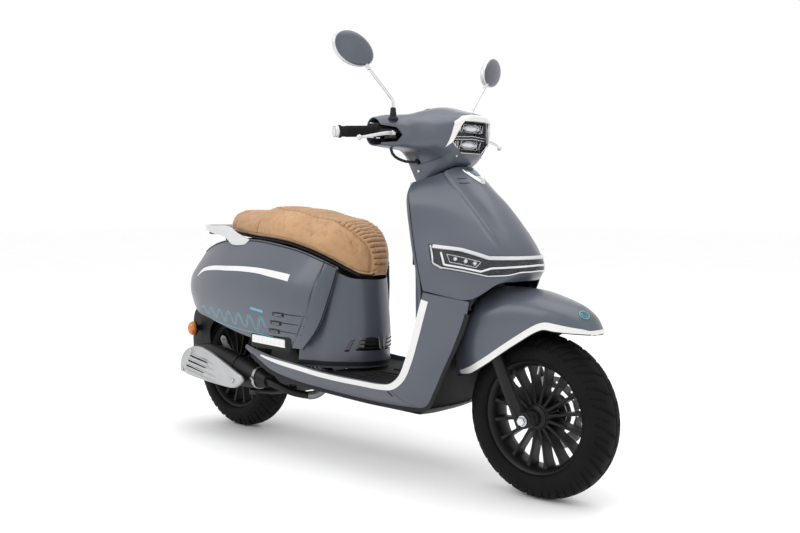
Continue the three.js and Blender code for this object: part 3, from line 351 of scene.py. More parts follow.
class Skin:
    """The outer face of a panel, to lay trims and seams on."""

    def __init__(self, grid, inside):
        rows, cols = grid.shape[:2]
        faces = [
            (i * cols + j, i * cols + j + 1, (i + 1) * cols + j + 1, (i + 1) * cols + j)
            for i in range(rows - 1) for j in range(cols - 1)
        ]
        self.tree = BVHTree.FromPolygons([Vector(p) for p in grid.reshape(-1, 3)], faces)
        mid = grid[rows // 2, cols // 2]
        _, n, _, _ = self.tree.find_nearest(Vector(mid))
        self.sign = 1 if np.dot(n, mid - np.array(inside)) > 0 else -1

    def near(self, p):
        q, n, _, _ = self.tree.find_nearest(Vector(p))
        return np.array(q), np.array(n) * self.sign

    def seen(self, p, direction):
        """The point where a line from far outside through p, along direction, meets the skin."""
        direction = Vector(direction).normalized()
        q, n, _, _ = self.tree.ray_cast(Vector(p) - direction * 2000, direction)
        if q is None:
            return self.near(p)
        return np.array(q), np.array(n) * self.sign

    def ribbon(self, path, width, proud=0.8, sink=0.5, across=4, step=5.0, curved=True):
        """A thin strip that lies on the skin along a path; width is a number or a list along it."""
        count = max(6, int(run_so_far(path)[-1] / step))
        line = spline(path, count) if curved else polyline(path, count)
        line = np.array([self.near(p)[0] for p in line])
        tangent = unit(np.gradient(line, axis=0))
        width = np.atleast_1d(width)
        widths = np.interp(np.linspace(0, 1, count), np.linspace(0, 1, len(width)), width)
        top, bottom = [], []
        for p, t, w in zip(line, tangent, widths):
            _, n = self.near(p)
            side = np.cross(n, t)
            hits = [self.near(p + side * w * f) for f in np.linspace(-0.5, 0.5, across + 1)]
            top.append([q + m * proud for q, m in hits])
            bottom.append([q - m * sink for q, m in hits])
        return slab(np.array(top), np.array(bottom))

    def patch(self, low, high, rows=10, proud=0.8, sink=0.5, steps=24, direction=None):
        """A thin plate on the skin between two lines."""
        low, high = polyline(low, steps), polyline(high, steps)
        top, bottom = [], []
        for k in range(rows + 1):
            line = low + (high - low) * k / rows
            hits = [self.near(p) if direction is None else self.seen(p, direction) for p in line]
            top.append([q + m * proud for q, m in hits])
            bottom.append([q - m * sink for q, m in hits])
        return slab(np.array(top), np.array(bottom))


# ---- materials ----------------------------------------------------------------------------------
def new_material(name):
    material = bpy.data.materials.new(name)
    material.use_nodes = True
    nodes = material.node_tree.nodes
    return material, nodes, material.node_tree.links, nodes["Principled BSDF"]


def noise(nodes, links, source, scale, detail=4.0, stretch=None):
    texture = nodes.new("ShaderNodeTexNoise")
    texture.inputs["Scale"].default_value = scale
    texture.inputs["Detail"].default_value = detail
    if stretch:
        mapping = nodes.new("ShaderNodeMapping")
        mapping.inputs["Scale"].default_value = stretch
        links.new(source, mapping.inputs["Vector"])
        source = mapping.outputs["Vector"]
    links.new(source, texture.inputs["Vector"])
    return texture.outputs["Fac"]


def ramp(nodes, links, fac, low, high, start=0.3, end=0.7):
    """Runs from colour low to colour high as fac goes from start to end."""
    node = nodes.new("ShaderNodeValToRGB")
    node.color_ramp.elements[0].position = start
    node.color_ramp.elements[1].position = end
    node.color_ramp.elements[0].color = (*low, 1)
    node.color_ramp.elements[1].color = (*high, 1)
    links.new(fac, node.inputs["Fac"])
    return node.outputs["Color"]


def blend_colours(nodes, links, fac, a, b):
    mix = nodes.new("ShaderNodeMix")
    mix.data_type = "RGBA"
    links.new(fac, mix.inputs["Factor"])
    for value, socket in ((a, mix.inputs["A"]), (b, mix.inputs["B"])):
        if isinstance(value, tuple):
            socket.default_value = (*value, 1)
        else:
            links.new(value, socket)
    return mix.outputs["Result"]


def add_bump(nodes, links, shader, height, strength, distance):
    bump = nodes.new("ShaderNodeBump")
    bump.inputs["Strength"].default_value = strength
    bump.inputs["Distance"].default_value = distance
    links.new(height, bump.inputs["Height"])
    links.new(bump.outputs["Normal"], shader.inputs["Normal"])


def finish_material(name, colour, roughness, metallic=0.0, mottle=0.06, mottle_scale=9.0, grain=0.0,
                    grain_scale=700.0, roughness_spread=0.06, edge_wear_and_highlight=0.0, edge_wear_and_highlight_colour=(0.5, 0.5, 0.5),
                    stretch=None, **sockets):
    """A moulded, painted or metal finish: mottled colour, uneven roughness, fine grain and lighter convex
    edges, which are wear and, on the tyre, a painted highlight.
    """
    material, nodes, links, shader = new_material(name)
    place = nodes.new("ShaderNodeTexCoord").outputs["Object"]
    broad = noise(nodes, links, place, mottle_scale)
    darker = tuple(c * (1 - mottle) for c in colour)
    lighter = tuple(min(1, c * (1 + mottle)) for c in colour)
    result = ramp(nodes, links, broad, darker, lighter)
    # Lighter colour on convex edges: edge wear, and on the tyre a painted highlight that brings out its
    # relief.
    if edge_wear_and_highlight:
        edges = nodes.new("ShaderNodeNewGeometry").outputs["Pointiness"]
        edge_wear_and_highlight_mask = ramp(nodes, links, edges, (0, 0, 0), (edge_wear_and_highlight, edge_wear_and_highlight, edge_wear_and_highlight), 0.54, 0.62)
        result = blend_colours(nodes, links, edge_wear_and_highlight_mask, result, edge_wear_and_highlight_colour)
    links.new(result, shader.inputs["Base Color"])
    fine = noise(nodes, links, place, grain_scale, 3.0, stretch)
    levels = nodes.new("ShaderNodeMapRange")
    levels.inputs["To Min"].default_value = max(0.02, roughness - roughness_spread)
    levels.inputs["To Max"].default_value = roughness + roughness_spread
    links.new(noise(nodes, links, place, mottle_scale * 4, 5.0, stretch), levels.inputs["Value"])
    links.new(levels.outputs["Result"], shader.inputs["Roughness"])
    if grain:
        add_bump(nodes, links, shader, fine, grain, 0.0004)
    shader.inputs["Metallic"].default_value = metallic
    for socket, value in sockets.items():
        shader.inputs[socket.replace("_", " ")].default_value = value
    return material


def leather_material():
    """Tan seat leather: pebbled grain, mottled tone and painted shade that darkens its folds, so the crown
    stays lighter.
    """
    material, nodes, links, shader = new_material("tan_leather")
    place = nodes.new("ShaderNodeTexCoord").outputs["Object"]
    cells = nodes.new("ShaderNodeTexVoronoi")
    cells.feature = "DISTANCE_TO_EDGE"
    cells.inputs["Scale"].default_value = 520
    links.new(place, cells.inputs["Vector"])
    pores = ramp(nodes, links, cells.outputs["Distance"], (0, 0, 0), (1, 1, 1), 0.0, 0.16)
    broad, fine = noise(nodes, links, place, 7, 6.0), noise(nodes, links, place, 46, 5.0)
    tone = ramp(nodes, links, broad, (0.34, 0.185, 0.083), (0.49, 0.285, 0.143), 0.32, 0.68)
    stain = ramp(nodes, links, fine, (0.26, 0.135, 0.06), (0.46, 0.265, 0.13), 0.28, 0.55)
    mixed = nodes.new("ShaderNodeMix")
    mixed.data_type = "RGBA"
    mixed.inputs["Factor"].default_value = 0.4
    links.new(tone, mixed.inputs["A"])
    links.new(stain, mixed.inputs["B"])
    # Painted shade: concave folds are blended towards a deep brown.
    folds = nodes.new("ShaderNodeNewGeometry").outputs["Pointiness"]
    painted_fold_shade = ramp(nodes, links, folds, (1, 1, 1), (0, 0, 0), 0.44, 0.5)
    result = blend_colours(nodes, links, painted_fold_shade, mixed.outputs["Result"], (0.17, 0.085, 0.04))
    links.new(result, shader.inputs["Base Color"])
    add_bump(nodes, links, shader, pores, 0.35, 0.0006)
    shader.inputs["Roughness"].default_value = 0.58
    shader.inputs["Specular IOR Level"].default_value = 0.35
    shader.inputs["Sheen Weight"].default_value = 0.15
    return material


def glass_material(name, tint, alpha, roughness=0.04):
    """A clear or tinted moulded lens with faint flow lines."""
    material, nodes, links, shader = new_material(name)
    place = nodes.new("ShaderNodeTexCoord").outputs["Object"]
    wave = noise(nodes, links, place, 60, 2.0, (1, 1, 6))
    shade = ramp(nodes, links, wave, tuple(c * 0.92 for c in tint), tint)
    links.new(shade, shader.inputs["Base Color"])
    add_bump(nodes, links, shader, wave, 0.05, 0.0008)
    shader.inputs["Roughness"].default_value = roughness
    shader.inputs["Alpha"].default_value = alpha
    shader.inputs["Specular IOR Level"].default_value = 0.6
    return material


PAINT = finish_material(
    "grey_paint", (0.070, 0.080, 0.104), 0.38, metallic=0.1, mottle=0.025, mottle_scale=5, grain=0.03,
    grain_scale=2200, roughness_spread=0.03, Coat_Weight=0.22, Coat_Roughness=0.18,
)
CREAM = finish_material("cream_trim", (0.665, 0.665, 0.655), 0.42, mottle=0.03, grain=0.04, Coat_Weight=0.15)
SILVER = finish_material(
    "silver_lacquer", (0.58, 0.585, 0.59), 0.34, metallic=0.35, mottle=0.03, grain=0.05, grain_scale=1500,
    Coat_Weight=0.4,
)
BLACK = finish_material(
    "black_plastic", (0.008, 0.008, 0.009), 0.55, mottle=0.2, mottle_scale=14, grain=0.35, grain_scale=900,
    edge_wear_and_highlight=0.4, edge_wear_and_highlight_colour=(0.035, 0.035, 0.037), Specular_IOR_Level=0.25,
)
GLOSS_BLACK = finish_material(
    "gloss_black", (0.006, 0.006, 0.007), 0.12, mottle=0.1, grain=0.02, Coat_Weight=0.6,
)
BLACK_METAL = finish_material(
    "black_enamel", (0.006, 0.006, 0.007), 0.45, metallic=0.1, mottle=0.15, mottle_scale=20, grain=0.12,
    grain_scale=500, edge_wear_and_highlight=0.3, edge_wear_and_highlight_colour=(0.05, 0.05, 0.052), Specular_IOR_Level=0.3,
)
RUBBER = finish_material(
    "ribbed_rubber", (0.006, 0.006, 0.006), 0.8, mottle=0.25, mottle_scale=18, grain=0.4, grain_scale=1100,
    edge_wear_and_highlight=0.3, edge_wear_and_highlight_colour=(0.03, 0.029, 0.028), Specular_IOR_Level=0.2,
)
# The tyre's lighter convex edges are a painted highlight that brings out its tread relief.
TYRE = finish_material(
    "tyre_rubber", (0.0035, 0.0035, 0.0036), 0.7, mottle=0.3, mottle_scale=12, grain=0.3, grain_scale=700,
    edge_wear_and_highlight=0.3, edge_wear_and_highlight_colour=(0.012, 0.012, 0.0115), Specular_IOR_Level=0.14,
)
CHROME = finish_material(
    "chrome", (0.62, 0.63, 0.65), 0.10, metallic=1.0, mottle=0.03, grain=0.01, roughness_spread=0.04,
)
STEEL = finish_material(
    "brushed_steel", (0.46, 0.46, 0.47), 0.33, metallic=1.0, mottle=0.1, mottle_scale=24, grain=0.2,
    grain_scale=300, stretch=(1, 1, 22), edge_wear_and_highlight=0.4, edge_wear_and_highlight_colour=(0.75, 0.75, 0.76),
)
CAST = finish_material(
    "cast_aluminium", (0.23, 0.235, 0.24), 0.46, metallic=0.85, mottle=0.25, mottle_scale=16, grain=0.7,
    grain_scale=420, edge_wear_and_highlight=0.5, edge_wear_and_highlight_colour=(0.5, 0.5, 0.5),
)
CASE = finish_material(
    "dark_casting", (0.030, 0.031, 0.032), 0.5, metallic=0.5, mottle=0.3, mottle_scale=14, grain=0.6,
    grain_scale=380, edge_wear_and_highlight=0.5, edge_wear_and_highlight_colour=(0.14, 0.14, 0.14),
)
SHIELD_STEEL = finish_material(
    "satin_shield", (0.42, 0.425, 0.43), 0.42, metallic=0.6, mottle=0.05, mottle_scale=30, grain=0.5,
    grain_scale=900, edge_wear_and_highlight=0.4, edge_wear_and_highlight_colour=(0.8, 0.8, 0.8),
)
SEAM = finish_material("seam_shadow", (0.018, 0.019, 0.022), 0.7, mottle=0.2, grain=0.1)
CYAN = finish_material(
    "cyan_film", (0.07, 0.33, 0.42), 0.35, mottle=0.12, mottle_scale=30, grain=0.05, Coat_Weight=0.4,
)
TEAL = finish_material(
    "teal_enamel", (0.02, 0.055, 0.085), 0.15, mottle=0.3, mottle_scale=25, grain=0.02, Coat_Weight=1.0,
)
RED = finish_material(
    "red_lens", (0.36, 0.012, 0.010), 0.14, mottle=0.15, mottle_scale=60, grain=0.2, grain_scale=300,
    Coat_Weight=1.0,
)
AMBER = finish_material(
    "amber_lens", (0.62, 0.19, 0.018), 0.16, mottle=0.25, mottle_scale=70, grain=0.3, grain_scale=260,
    Coat_Weight=1.0, Transmission_Weight=0.15,
)
REFLECTOR = finish_material(
    "lamp_reflector", (0.50, 0.52, 0.54), 0.2, metallic=1.0, mottle=0.35, mottle_scale=70, grain=0.25,
    grain_scale=240,
)
LAMP_HOUSING = finish_material(
    "lamp_housing", (0.022, 0.023, 0.026), 0.3, mottle=0.3, mottle_scale=40, grain=0.1,
    Specular_IOR_Level=0.3,
)
LIGHT_GUIDE = finish_material(
    "light_guide", (0.80, 0.82, 0.84), 0.2, mottle=0.04, grain=0.03, Coat_Weight=0.6,
)
LENS = glass_material("clear_lens", (0.10, 0.11, 0.12), alpha=0.06)
MIRROR_GLASS = finish_material(
    "mirror_glass", (0.82, 0.84, 0.86), 0.03, metallic=1.0, mottle=0.01, grain=0.0,
    roughness_spread=0.01,
)
DISPLAY = finish_material(
    "display_glass", (0.010, 0.013, 0.017), 0.07, mottle=0.15, mottle_scale=30, grain=0.01,
    Coat_Weight=1.0,
)
LEATHER = leather_material()
THREAD = finish_material(
    "seat_thread", (0.30, 0.17, 0.085), 0.8, mottle=0.3, mottle_scale=300, grain=0.6, grain_scale=2600,
)


# A slot for each finish; a piece may name another.
SLOT_OF = {finish.name: slot for slot, finishes in {
    "paint": (PAINT, CYAN),
    "cream": (CREAM,),
    "chrome": (CHROME, SILVER, REFLECTOR, MIRROR_GLASS, TEAL),
    "steel": (STEEL, CAST, SHIELD_STEEL),
    "black_metal": (BLACK_METAL,),
    "black_plastic": (BLACK, GLOSS_BLACK, SEAM, DISPLAY, LAMP_HOUSING),
    "rubber": (RUBBER,),
    "tyre": (TYRE,),
    "leather": (LEATHER, THREAD),
    "lens": (LENS, LIGHT_GUIDE),
    "red": (RED,),
    "amber": (AMBER,),
}.items() for finish in finishes}


def dress(materials):
    """Gives carried-over CAD nodes their finish and softened edges."""
    for material, names in materials:
        for name in names:
            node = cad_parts[name]
            node.data.materials.clear()
            node.data.materials.append(material)
            weld = node.modifiers.new("weld", "WELD")
            weld.merge_threshold = 0.00002
            node.data.polygons.foreach_set("use_smooth", [True] * len(node.data.polygons))
            add_bevel(node, 0.8)


dress((
    (BLACK_METAL, ["frame", "fork_yoke", "fork_leg_right", "fork_leg_left", "centre_stand", "side_stand",
                   "handlebar", "shock_body"]),
    (BLACK, ["belly_tray", "seat_pan", "storage_bucket", "switch_pod_right", "switch_pod_left", "horn_button",
             "turn_switch"]),
    (RUBBER, ["floorboard"]),
    (CASE, ["engine_case"]),
    (CAST, ["cylinder", "front_caliper"]),
    (STEEL, ["front_axle", "kick_lever"]),
    (CHROME, ["shock_rod"]),
    (RED, ["starter_button"]),
))


# ---- body panels -----------------------------------------------------------------------------------
FENDER_ROWS = [
    [[862, 24, 486], [868, 12, 486], [871, 0, 486]],
    [[842, 50, 488], [853, 33, 499], [860, 0, 502]],
    [[804, 71, 490], [829, 52, 518], [842, 0, 532]],
    [[768, 86, 493], [790, 67, 538], [806, 0, 557]],
    [[742, 93, 496], [764, 73, 547], [778, 0, 568]],
    [[722, 98, 489], [736, 80, 552], [751, 0, 577]],
    [[668, 103, 456], [676, 89, 558], [685, 0, 595]],
    [[610, 106, 418], [614, 95, 556], [614, 0, 601]],
    [[565, 108, 387], [560, 106, 540], [554, 0, 601]],
    [[528, 108, 364], [515, 114, 524], [500, 0, 592]],
    [[500, 99, 350], [484, 111, 492], [462, 0, 564]],
    [[470, 84, 340], [442, 88, 450], [428, 0, 522]],
    [[438, 64, 332], [412, 66, 400], [402, 0, 455]],
    [[408, 44, 326], [395, 42, 360], [390, 0, 385]],
    [[396, 34, 325], [389, 20, 330], [388, 0, 333]],
]
APRON_ROWS = [
    [[303, 138, 905], [330, 108, 917], [370, 66, 937], [392, 42, 948], [401, 0, 951]],
    [[312, 155, 893], [347, 120, 902], [400, 72, 908], [434, 46, 912], [445, 0, 914]],
    [[326, 177, 872], [370, 134, 876], [434, 74, 878], [468, 47, 880], [482, 0, 881]],
    [[350, 200, 835], [404, 150, 836], [475, 78, 838], [514, 50, 838], [526, 0, 838]],
    [[367, 210, 777], [446, 156, 777], [538, 84, 777], [572, 48, 777], [584, 0, 777]],
    [[387, 217, 700], [500, 166, 701], [602, 90, 702], [634, 44, 701], [648, 0, 700]],
    [[397, 218, 660], [512, 172, 660], [612, 93, 660], [647, 48, 660], [658, 0, 660]],
    [[405, 217, 625], [520, 170, 622], [606, 97, 632], [640, 50, 636], [650, 0, 638]],
    [[413, 215, 592], [535, 158, 570], [600, 101, 616], [622, 55, 619], [633, 0, 620]],
]
SHIELD_ROWS = [
    [[298, 133, 902], [272, 70, 887], [256, 0, 880]],
    [[316, 172, 866], [288, 90, 862], [276, 0, 860]],
    [[338, 197, 828], [298, 100, 826], [286, 0, 825]],
    [[356, 207, 770], [306, 110, 768], [293, 0, 767]],
    [[375, 213, 695], [310, 120, 693], [297, 0, 692]],
    [[392, 212, 620], [312, 125, 618], [300, 0, 617]],
    [[392, 209, 545], [316, 130, 543], [303, 0, 542]],
    [[366, 207, 450], [322, 130, 448], [308, 0, 447]],
    [[340, 204, 380], [318, 120, 378], [306, 0, 377]],
    [[314, 200, 322], [304, 110, 316], [299, 0, 314]],
]
SKIRT_ROWS = [
    [[413, 215, 588], [475, 192, 577], [536, 158, 565]],
    [[393, 216, 525], [455, 195, 520], [527, 161, 515]],
    [[366, 215, 446], [430, 195, 440], [500, 165, 448]],
    [[342, 213, 385], [390, 193, 360], [450, 160, 361]],
    [[312, 210, 333], [350, 190, 305], [408, 156, 284]],
    [[275, 210, 306], [310, 192, 270], [370, 150, 237]],
    [[235, 210, 301], [250, 195, 265], [300, 157, 229]],
    [[150, 207, 301], [155, 194, 266], [175, 164, 229]],
    [[61, 205, 302], [58, 195, 270], [50, 170, 235]],
    [[-40, 202, 306], [-44, 196, 276], [-50, 177, 242]],
    [[-132, 200, 314], [-136, 198, 284], [-145, 185, 250]],
    [[-270, 195, 326], [-273, 198, 300], [-280, 191, 272]],
    [[-350, 191, 338], [-352, 194, 321], [-356, 191, 303]],
    [[-424, 188, 354], [-427, 190, 348], [-431, 189, 341]],
]
COWL_ROWS = [
    [[-31, 121, 636], [-48, 137, 554], [-77, 166, 440], [-122, 192, 366]],
    [[-76, 149, 660], [-95, 187, 560], [-128, 201, 450], [-180, 196, 367]],
    [[-179, 155, 689], [-192, 209, 580], [-214, 215, 460], [-260, 197, 371]],
    [[-300, 149, 707], [-310, 214, 590], [-322, 217, 470], [-345, 197, 377]],
    [[-405, 141, 717], [-415, 206, 600], [-427, 212, 480], [-440, 194, 388]],
    [[-510, 133, 718], [-520, 194, 604], [-532, 201, 490], [-540, 188, 405]],
    [[-606, 125, 713], [-620, 178, 606], [-632, 186, 505], [-650, 172, 424]],
    [[-700, 112, 695], [-720, 155, 600], [-730, 164, 515], [-740, 156, 437]],
    [[-775, 96, 666], [-808, 124, 590], [-815, 134, 520], [-800, 130, 450]],
    [[-832, 75, 629], [-870, 94, 575], [-876, 100, 520], [-852, 104, 468]],
]
TAIL_ROWS = [
    [[-606, 119, 708], [-606, 60, 716], [-606, 0, 718]],
    [[-700, 106, 690], [-702, 56, 701], [-704, 0, 704]],
    [[-773, 90, 661], [-782, 50, 673], [-785, 0, 676]],
    [[-829, 69, 623], [-846, 42, 636], [-852, 0, 640]],
    [[-867, 86, 572], [-888, 48, 578], [-896, 0, 580]],
    [[-873, 92, 520], [-894, 50, 520], [-902, 0, 520]],
    [[-862, 92, 478], [-884, 50, 474], [-892, 0, 473]],
]
COLUMN_ROWS = [
    [[-168, 176, 305], [-112, 152, 305], [-72, 142, 305], [-38, 121, 305],
     [-6, 94, 305], [28, 58, 305], [48, 0, 305]],
    [[-160, 172, 400], [-102, 150, 400], [-70, 140, 400], [-36, 119, 400],
     [-2, 94, 400], [34, 58, 400], [56, 0, 400]],
    [[-146, 156, 500], [-92, 139, 500], [-66, 132, 500], [-36, 114, 500],
     [-6, 91, 500], [28, 56, 500], [48, 0, 500]],
    [[-124, 136, 652], [-82, 126, 640], [-60, 119, 628], [-36, 105, 614],
     [-10, 86, 601], [20, 54, 596], [40, 0, 594]],
]
MUDGUARD_ROWS = [
    [[-764, 92, 300], [-800, 92, 286], [-840, 90, 272], [-893, 78, 262], [-916, 40, 258], [-921, 0, 257]],
    [[-764, 92, 370], [-800, 92, 360], [-840, 90, 352], [-895, 78, 350], [-918, 40, 349], [-923, 0, 349]],
    [[-716, 92, 430], [-764, 92, 428], [-836, 89, 426], [-884, 76, 425], [-903, 40, 424], [-908, 0, 424]],
    [[-700, 88, 492], [-750, 86, 488], [-808, 80, 478], [-843, 67, 469], [-860, 36, 464], [-865, 0, 463]],
    [[-700, 62, 545], [-738, 60, 538], [-780, 54, 526], [-806, 44, 514], [-818, 24, 508], [-821, 0, 506]],
]
APRON_INSIDE = (450, 0, 750)
PEG_RECESS = (206, 48, 10)  # length, height and corner radius of the footpeg's opening


def panel(name, grid, inside, replaced, material=PAINT, body="chassis"):
    return make(name, [skinned(grid, inside)], material, body, bevel=0.9, replaces=replaced)


def apron_grid():
    """The front apron; its middle stands a little proud between two shoulder creases."""
    grid = grid_of([whole(row) for row in APRON_ROWS], 96, 193)
    n = normals_of(grid, APRON_INSIDE)
    along = np.linspace(0, 1, 96)[:, None]
    across = np.abs(np.linspace(-1, 1, 193))[None, :]
    crease = 0.5
    step = smooth_step((crease + 0.012 - across) / 0.05)
    groove = np.exp(-(((across - crease - 0.02) / 0.014) ** 2))
    fade = 1 - smooth_step((along - 0.52) / 0.12)
    return grid + n * ((3.0 * step - 1.8 * groove) * fade)[..., None]


def build_front_body():
    grid = apron_grid()
    panel("apron", grid, APRON_INSIDE, ["apron_front"])
    skin = Skin(grid, APRON_INSIDE)
    build_front_lamp(skin)
    build_badge(skin)
    shield = grid_of([whole(row) for row in SHIELD_ROWS], 110, 97)
    back = panel("rider_shield", shield, APRON_INSIDE, ["leg_shield"])
    pocket = skinned(np.array([[[240, y, z] for y in (-152, -44)] for z in (660, 752)], float),
                     (400, -98, 700), -120)
    carve(back, [pocket])
    build_glovebox(Skin(shield, APRON_INSIDE))
    for name, side in (("left", -1), ("right", 0)):
        edge = shield[2:-2, side] + (4, 0, 0)
        make(f"shield_welt_{name}", [sweep(edge, circle(5.2, 14))], PAINT, "chassis")


def build_glovebox(skin):
    y0, y1, z0, z1 = -150.8, -45.2, 661.2, 750.8
    ys = np.linspace(y0, y1, 30)
    face = np.array([[skin.seen((0, y, z), (1, 0, 0))[0] for y in ys] for z in np.linspace(z0, z1, 26)])
    make("glovebox_door", [skinned(face, APRON_INSIDE, 3.0, 0.6)], PAINT, "glovebox_lid", bevel=1.2,
         replaces=["glovebox_lid"])
    walls = []
    for a, b in (((y0 - 1, z0 - 1), (y1 + 1, z0 - 1)), ((y1 + 1, z0 - 1), (y1 + 1, z1 + 1)),
                 ((y1 + 1, z1 + 1), (y0 - 1, z1 + 1)), ((y0 - 1, z1 + 1), (y0 - 1, z0 - 1))):
        corners = np.array([[[x, *a], [x, *b]] for x in (318, 355)], float)
        walls.append(skinned(corners, (340, -98, 706), 2.0))
    floor = np.array([[[355, y, z] for y in (y0 - 2, y1 + 2)] for z in (z0 - 2, z1 + 2)], float)
    walls.append(skinned(floor, (300, -98, 706), 2.0))
    make("glovebox_pocket", walls, BLACK, "chassis")

    def fitting(profile, y, z, lean, segments):
        """A turned piece on the rider's side of the shield."""
        return lathe(profile, skin.seen((0, y, z), (1, 0, 0))[0], (-1, 0, lean), segments)

    latch = fitting([(-2, 11), (3, 11), (4.4, 9), (4.4, 0)], -98, 738, 0.1, 32)
    slot = rod((291, -98, 732), (291, -98, 744), 1.3, 8)
    make("glovebox_lock", [latch], CHROME, "glovebox_lid", bevel=0.5)
    make("glovebox_keyway", [slot], GLOSS_BLACK, "glovebox_lid")
    bend = spline([[290, 0, 806], [274, 0, 800], [262, 0, 786], [263, 0, 770], [272, 0, 764]], 30)
    hook = sweep(bend, circle(4, 14), up=(0, 1, 0))
    plate = fitting([(-3, 13), (2, 13), (3, 11), (3, 0)], 0, 806, 0, 32)
    make("bag_hook", [hook, plate], CHROME, "chassis", bevel=0.5)
    lock = fitting([(-3, 19), (4, 19), (6, 16), (6, 8), (3, 7), (3, 0)], -98, 808, 0.1, 36)
    make("ignition_lock", [lock], BLACK, "chassis", bevel=0.6)


def front_line(skin, points, count=40):
    """A line drawn on the apron as seen from straight ahead, from (y, z) points."""
    return np.array([skin.seen((900, y, z), (-1, 0, 0))[0] for y, z in polyline(points, count)])


def mirror_line(half):
    return [(-y, z) for y, z in half] + [(y, z) for y, z in reversed(half) if abs(y) > 1e-6]


def build_front_lamp(skin):
    """The V-shaped lamp band: dark housing, bright upper rim, light guides and three lens cells a side."""
    top = mirror_line([(197, 725), (160, 716), (122, 693), (60, 692), (0, 693)])
    bottom = mirror_line([(203, 671), (195, 657), (126, 634), (84, 637), (58, 645), (0, 648)])
    low, high = front_line(skin, bottom, 120), front_line(skin, top, 120)
    make("lamp_band", [skin.patch(low, high, rows=10, proud=1.6, steps=120)], LAMP_HOUSING, "chassis", "lens",
         replaces=["apron_light"])
    rim_top = front_line(skin, mirror_line([(193, 719), (158, 710), (120, 687), (60, 686), (0, 687)]), 120)
    make("lamp_rim_upper", [skin.ribbon(rim_top, 10.5, proud=5.2, sink=0, curved=False)], SILVER, "chassis",
         bevel=1.0)
    rim_low = front_line(skin, mirror_line([(193, 659.5), (126, 637), (86, 640), (60, 648), (0, 651)]), 120)
    make("lamp_rim_lower", [skin.ribbon(rim_low, 3.6, proud=5.0, sink=0, curved=False)], CHROME, "chassis",
         bevel=0.7)
    guide = mirror_line([(187, 703), (190, 668), (139, 650), (119, 659), (60, 663), (0, 666)])
    guide = front_line(skin, guide, 150)
    make("light_guide", [skin.ribbon(guide, 5.5, proud=4.4, sink=0, curved=False, step=3)], LIGHT_GUIDE,
         "chassis", bevel=1.0)
    frames, cells, lenses = [], [], []
    for side in (-1, 1):
        ends = front_line(skin, [(side * 195, 722), (side * 201, 672), (side * 193, 658)], 30)
        frames.append(skin.ribbon(ends, 5.0, proud=5.0, sink=0, curved=False))
        outline = [(181, 697), (135, 676), (146, 661), (182, 675), (181, 697)]
        line = front_line(skin, [(side * y, z) for y, z in outline], 90)
        frames.append(skin.ribbon(line, 2.2, proud=3.8, sink=0, curved=False, step=3))
        for k in range(3):
            y, z = 173 - 13.5 * k, 684 - 6 * k
            at, n = skin.seen((900, side * y, z), (-1, 0, 0))
            cells.append(lathe([(0.5, 6.4), (4.0, 6.5), (4.4, 5.8), (2.2, 4.0), (1.8, 0)], at, n, 6))
            lenses.append(lathe([(1.8, 4.0), (3.2, 3.4), (4.1, 1.8), (4.3, 0)], at, n, 20))
    make("lamp_frames", frames, CHROME, "chassis", bevel=0.4)
    make("lamp_cells", cells, REFLECTOR, "chassis", smooth=False)
    make("lamp_lenses", lenses, LIGHT_GUIDE, "chassis")
    low = mirror_line([(198, 671), (192, 661), (126, 639), (86, 642), (60, 650), (0, 653)])
    high = mirror_line([(193, 716), (156, 706), (118, 684), (60, 683), (0, 684)])
    low, high = front_line(skin, low, 120), front_line(skin, high, 120)
    cover = skin.patch(low, high, rows=8, proud=5.6, sink=-4.6, steps=120)
    make("lamp_cover", [cover], LENS, "chassis")


def build_badge(skin):
    """A plain shield-shaped plate at the top of the apron, with a dark enamel field and no marks."""
    outline = np.array([(0, 949), (20, 949), (31, 945), (32, 932), (22, 914), (8, 901), (0, 899),
                        (-8, 901), (-22, 914), (-32, 932), (-31, 945), (-20, 949)], float)
    def place(y, z, w):
        at, n = skin.seen((900, y, z), (-1, 0, 0))
        return at + n * (4.6 + w)
    ring = spline(outline, 72, closed=True)
    make("badge_plate", [shell_between(ring, place, 4.5, 2.0)], CHROME, "chassis")
    centre = np.array((0, 930))
    field = centre + (ring - np.array((0, 926))) * (0.70, 0.62)
    field[:, 1] = np.maximum(field[:, 1], 921)
    make("badge_field", [shell_between(field, lambda y, z, w: place(y, z, w + 0.9), 1.5, 0.5, 6)], TEAL,
         "chassis")
    marks = []
    for side in (-1, 1):
        for k, (y0, y1) in enumerate(((62, 44), (66, 46))):
            z = 915 - 14 * k
            line = front_line(skin, [(side * y0, z), (side * y1, z + 1)], 12)
            marks.append(skin.ribbon(line, 3.4, proud=0.35, curved=False, step=3))
    make("apron_slots", marks, SEAM, "chassis")
    screws = []
    for side in (-1, 1):
        at, n = skin.near((306, side * 141, 895))
        screws.append(bolt(at, n, 4.0))
    make("apron_screws", screws, STEEL, "chassis")


def build_gap_shade_and_splash_panel():
    """Black sheets behind the apron's lower edge that stand in for the shade in the gap there, and the splash
    panel behind the wheel.
    """
    sheets = []
    for side in (-1, 1):
        edge = ((402, 213, 590), (430, 206, 585), (475, 190, 577), (512, 170, 570), (536, 154, 565))
        edge = spline(flipped(edge, side), 30)
        away = np.array((0, -side, 0))
        rows = [edge + away * d + (0, 0, z) for d, z in ((5, -26), (5, 0), (9, 18), (16, 36))]
        sheets.append(skinned(np.array(rows), (430, 0, 560), 2.5))
    # These black sheets are painted shade for the gap behind the apron's lower edge.
    make("gap_shade_sheets", sheets, BLACK, "chassis")
    stations = ((229, 369, 131), (245, 368, 146), (300, 367, 166), (380, 366, 178), (470, 365, 182))
    rows = [[(x, half * t, z) for t in np.linspace(-1, 1, 13)] for z, x, half in stations]
    make("splash_panel", [skinned(np.array(rows), (100, 0, 350), 2.5)], BLACK, "chassis", bevel=0.8)


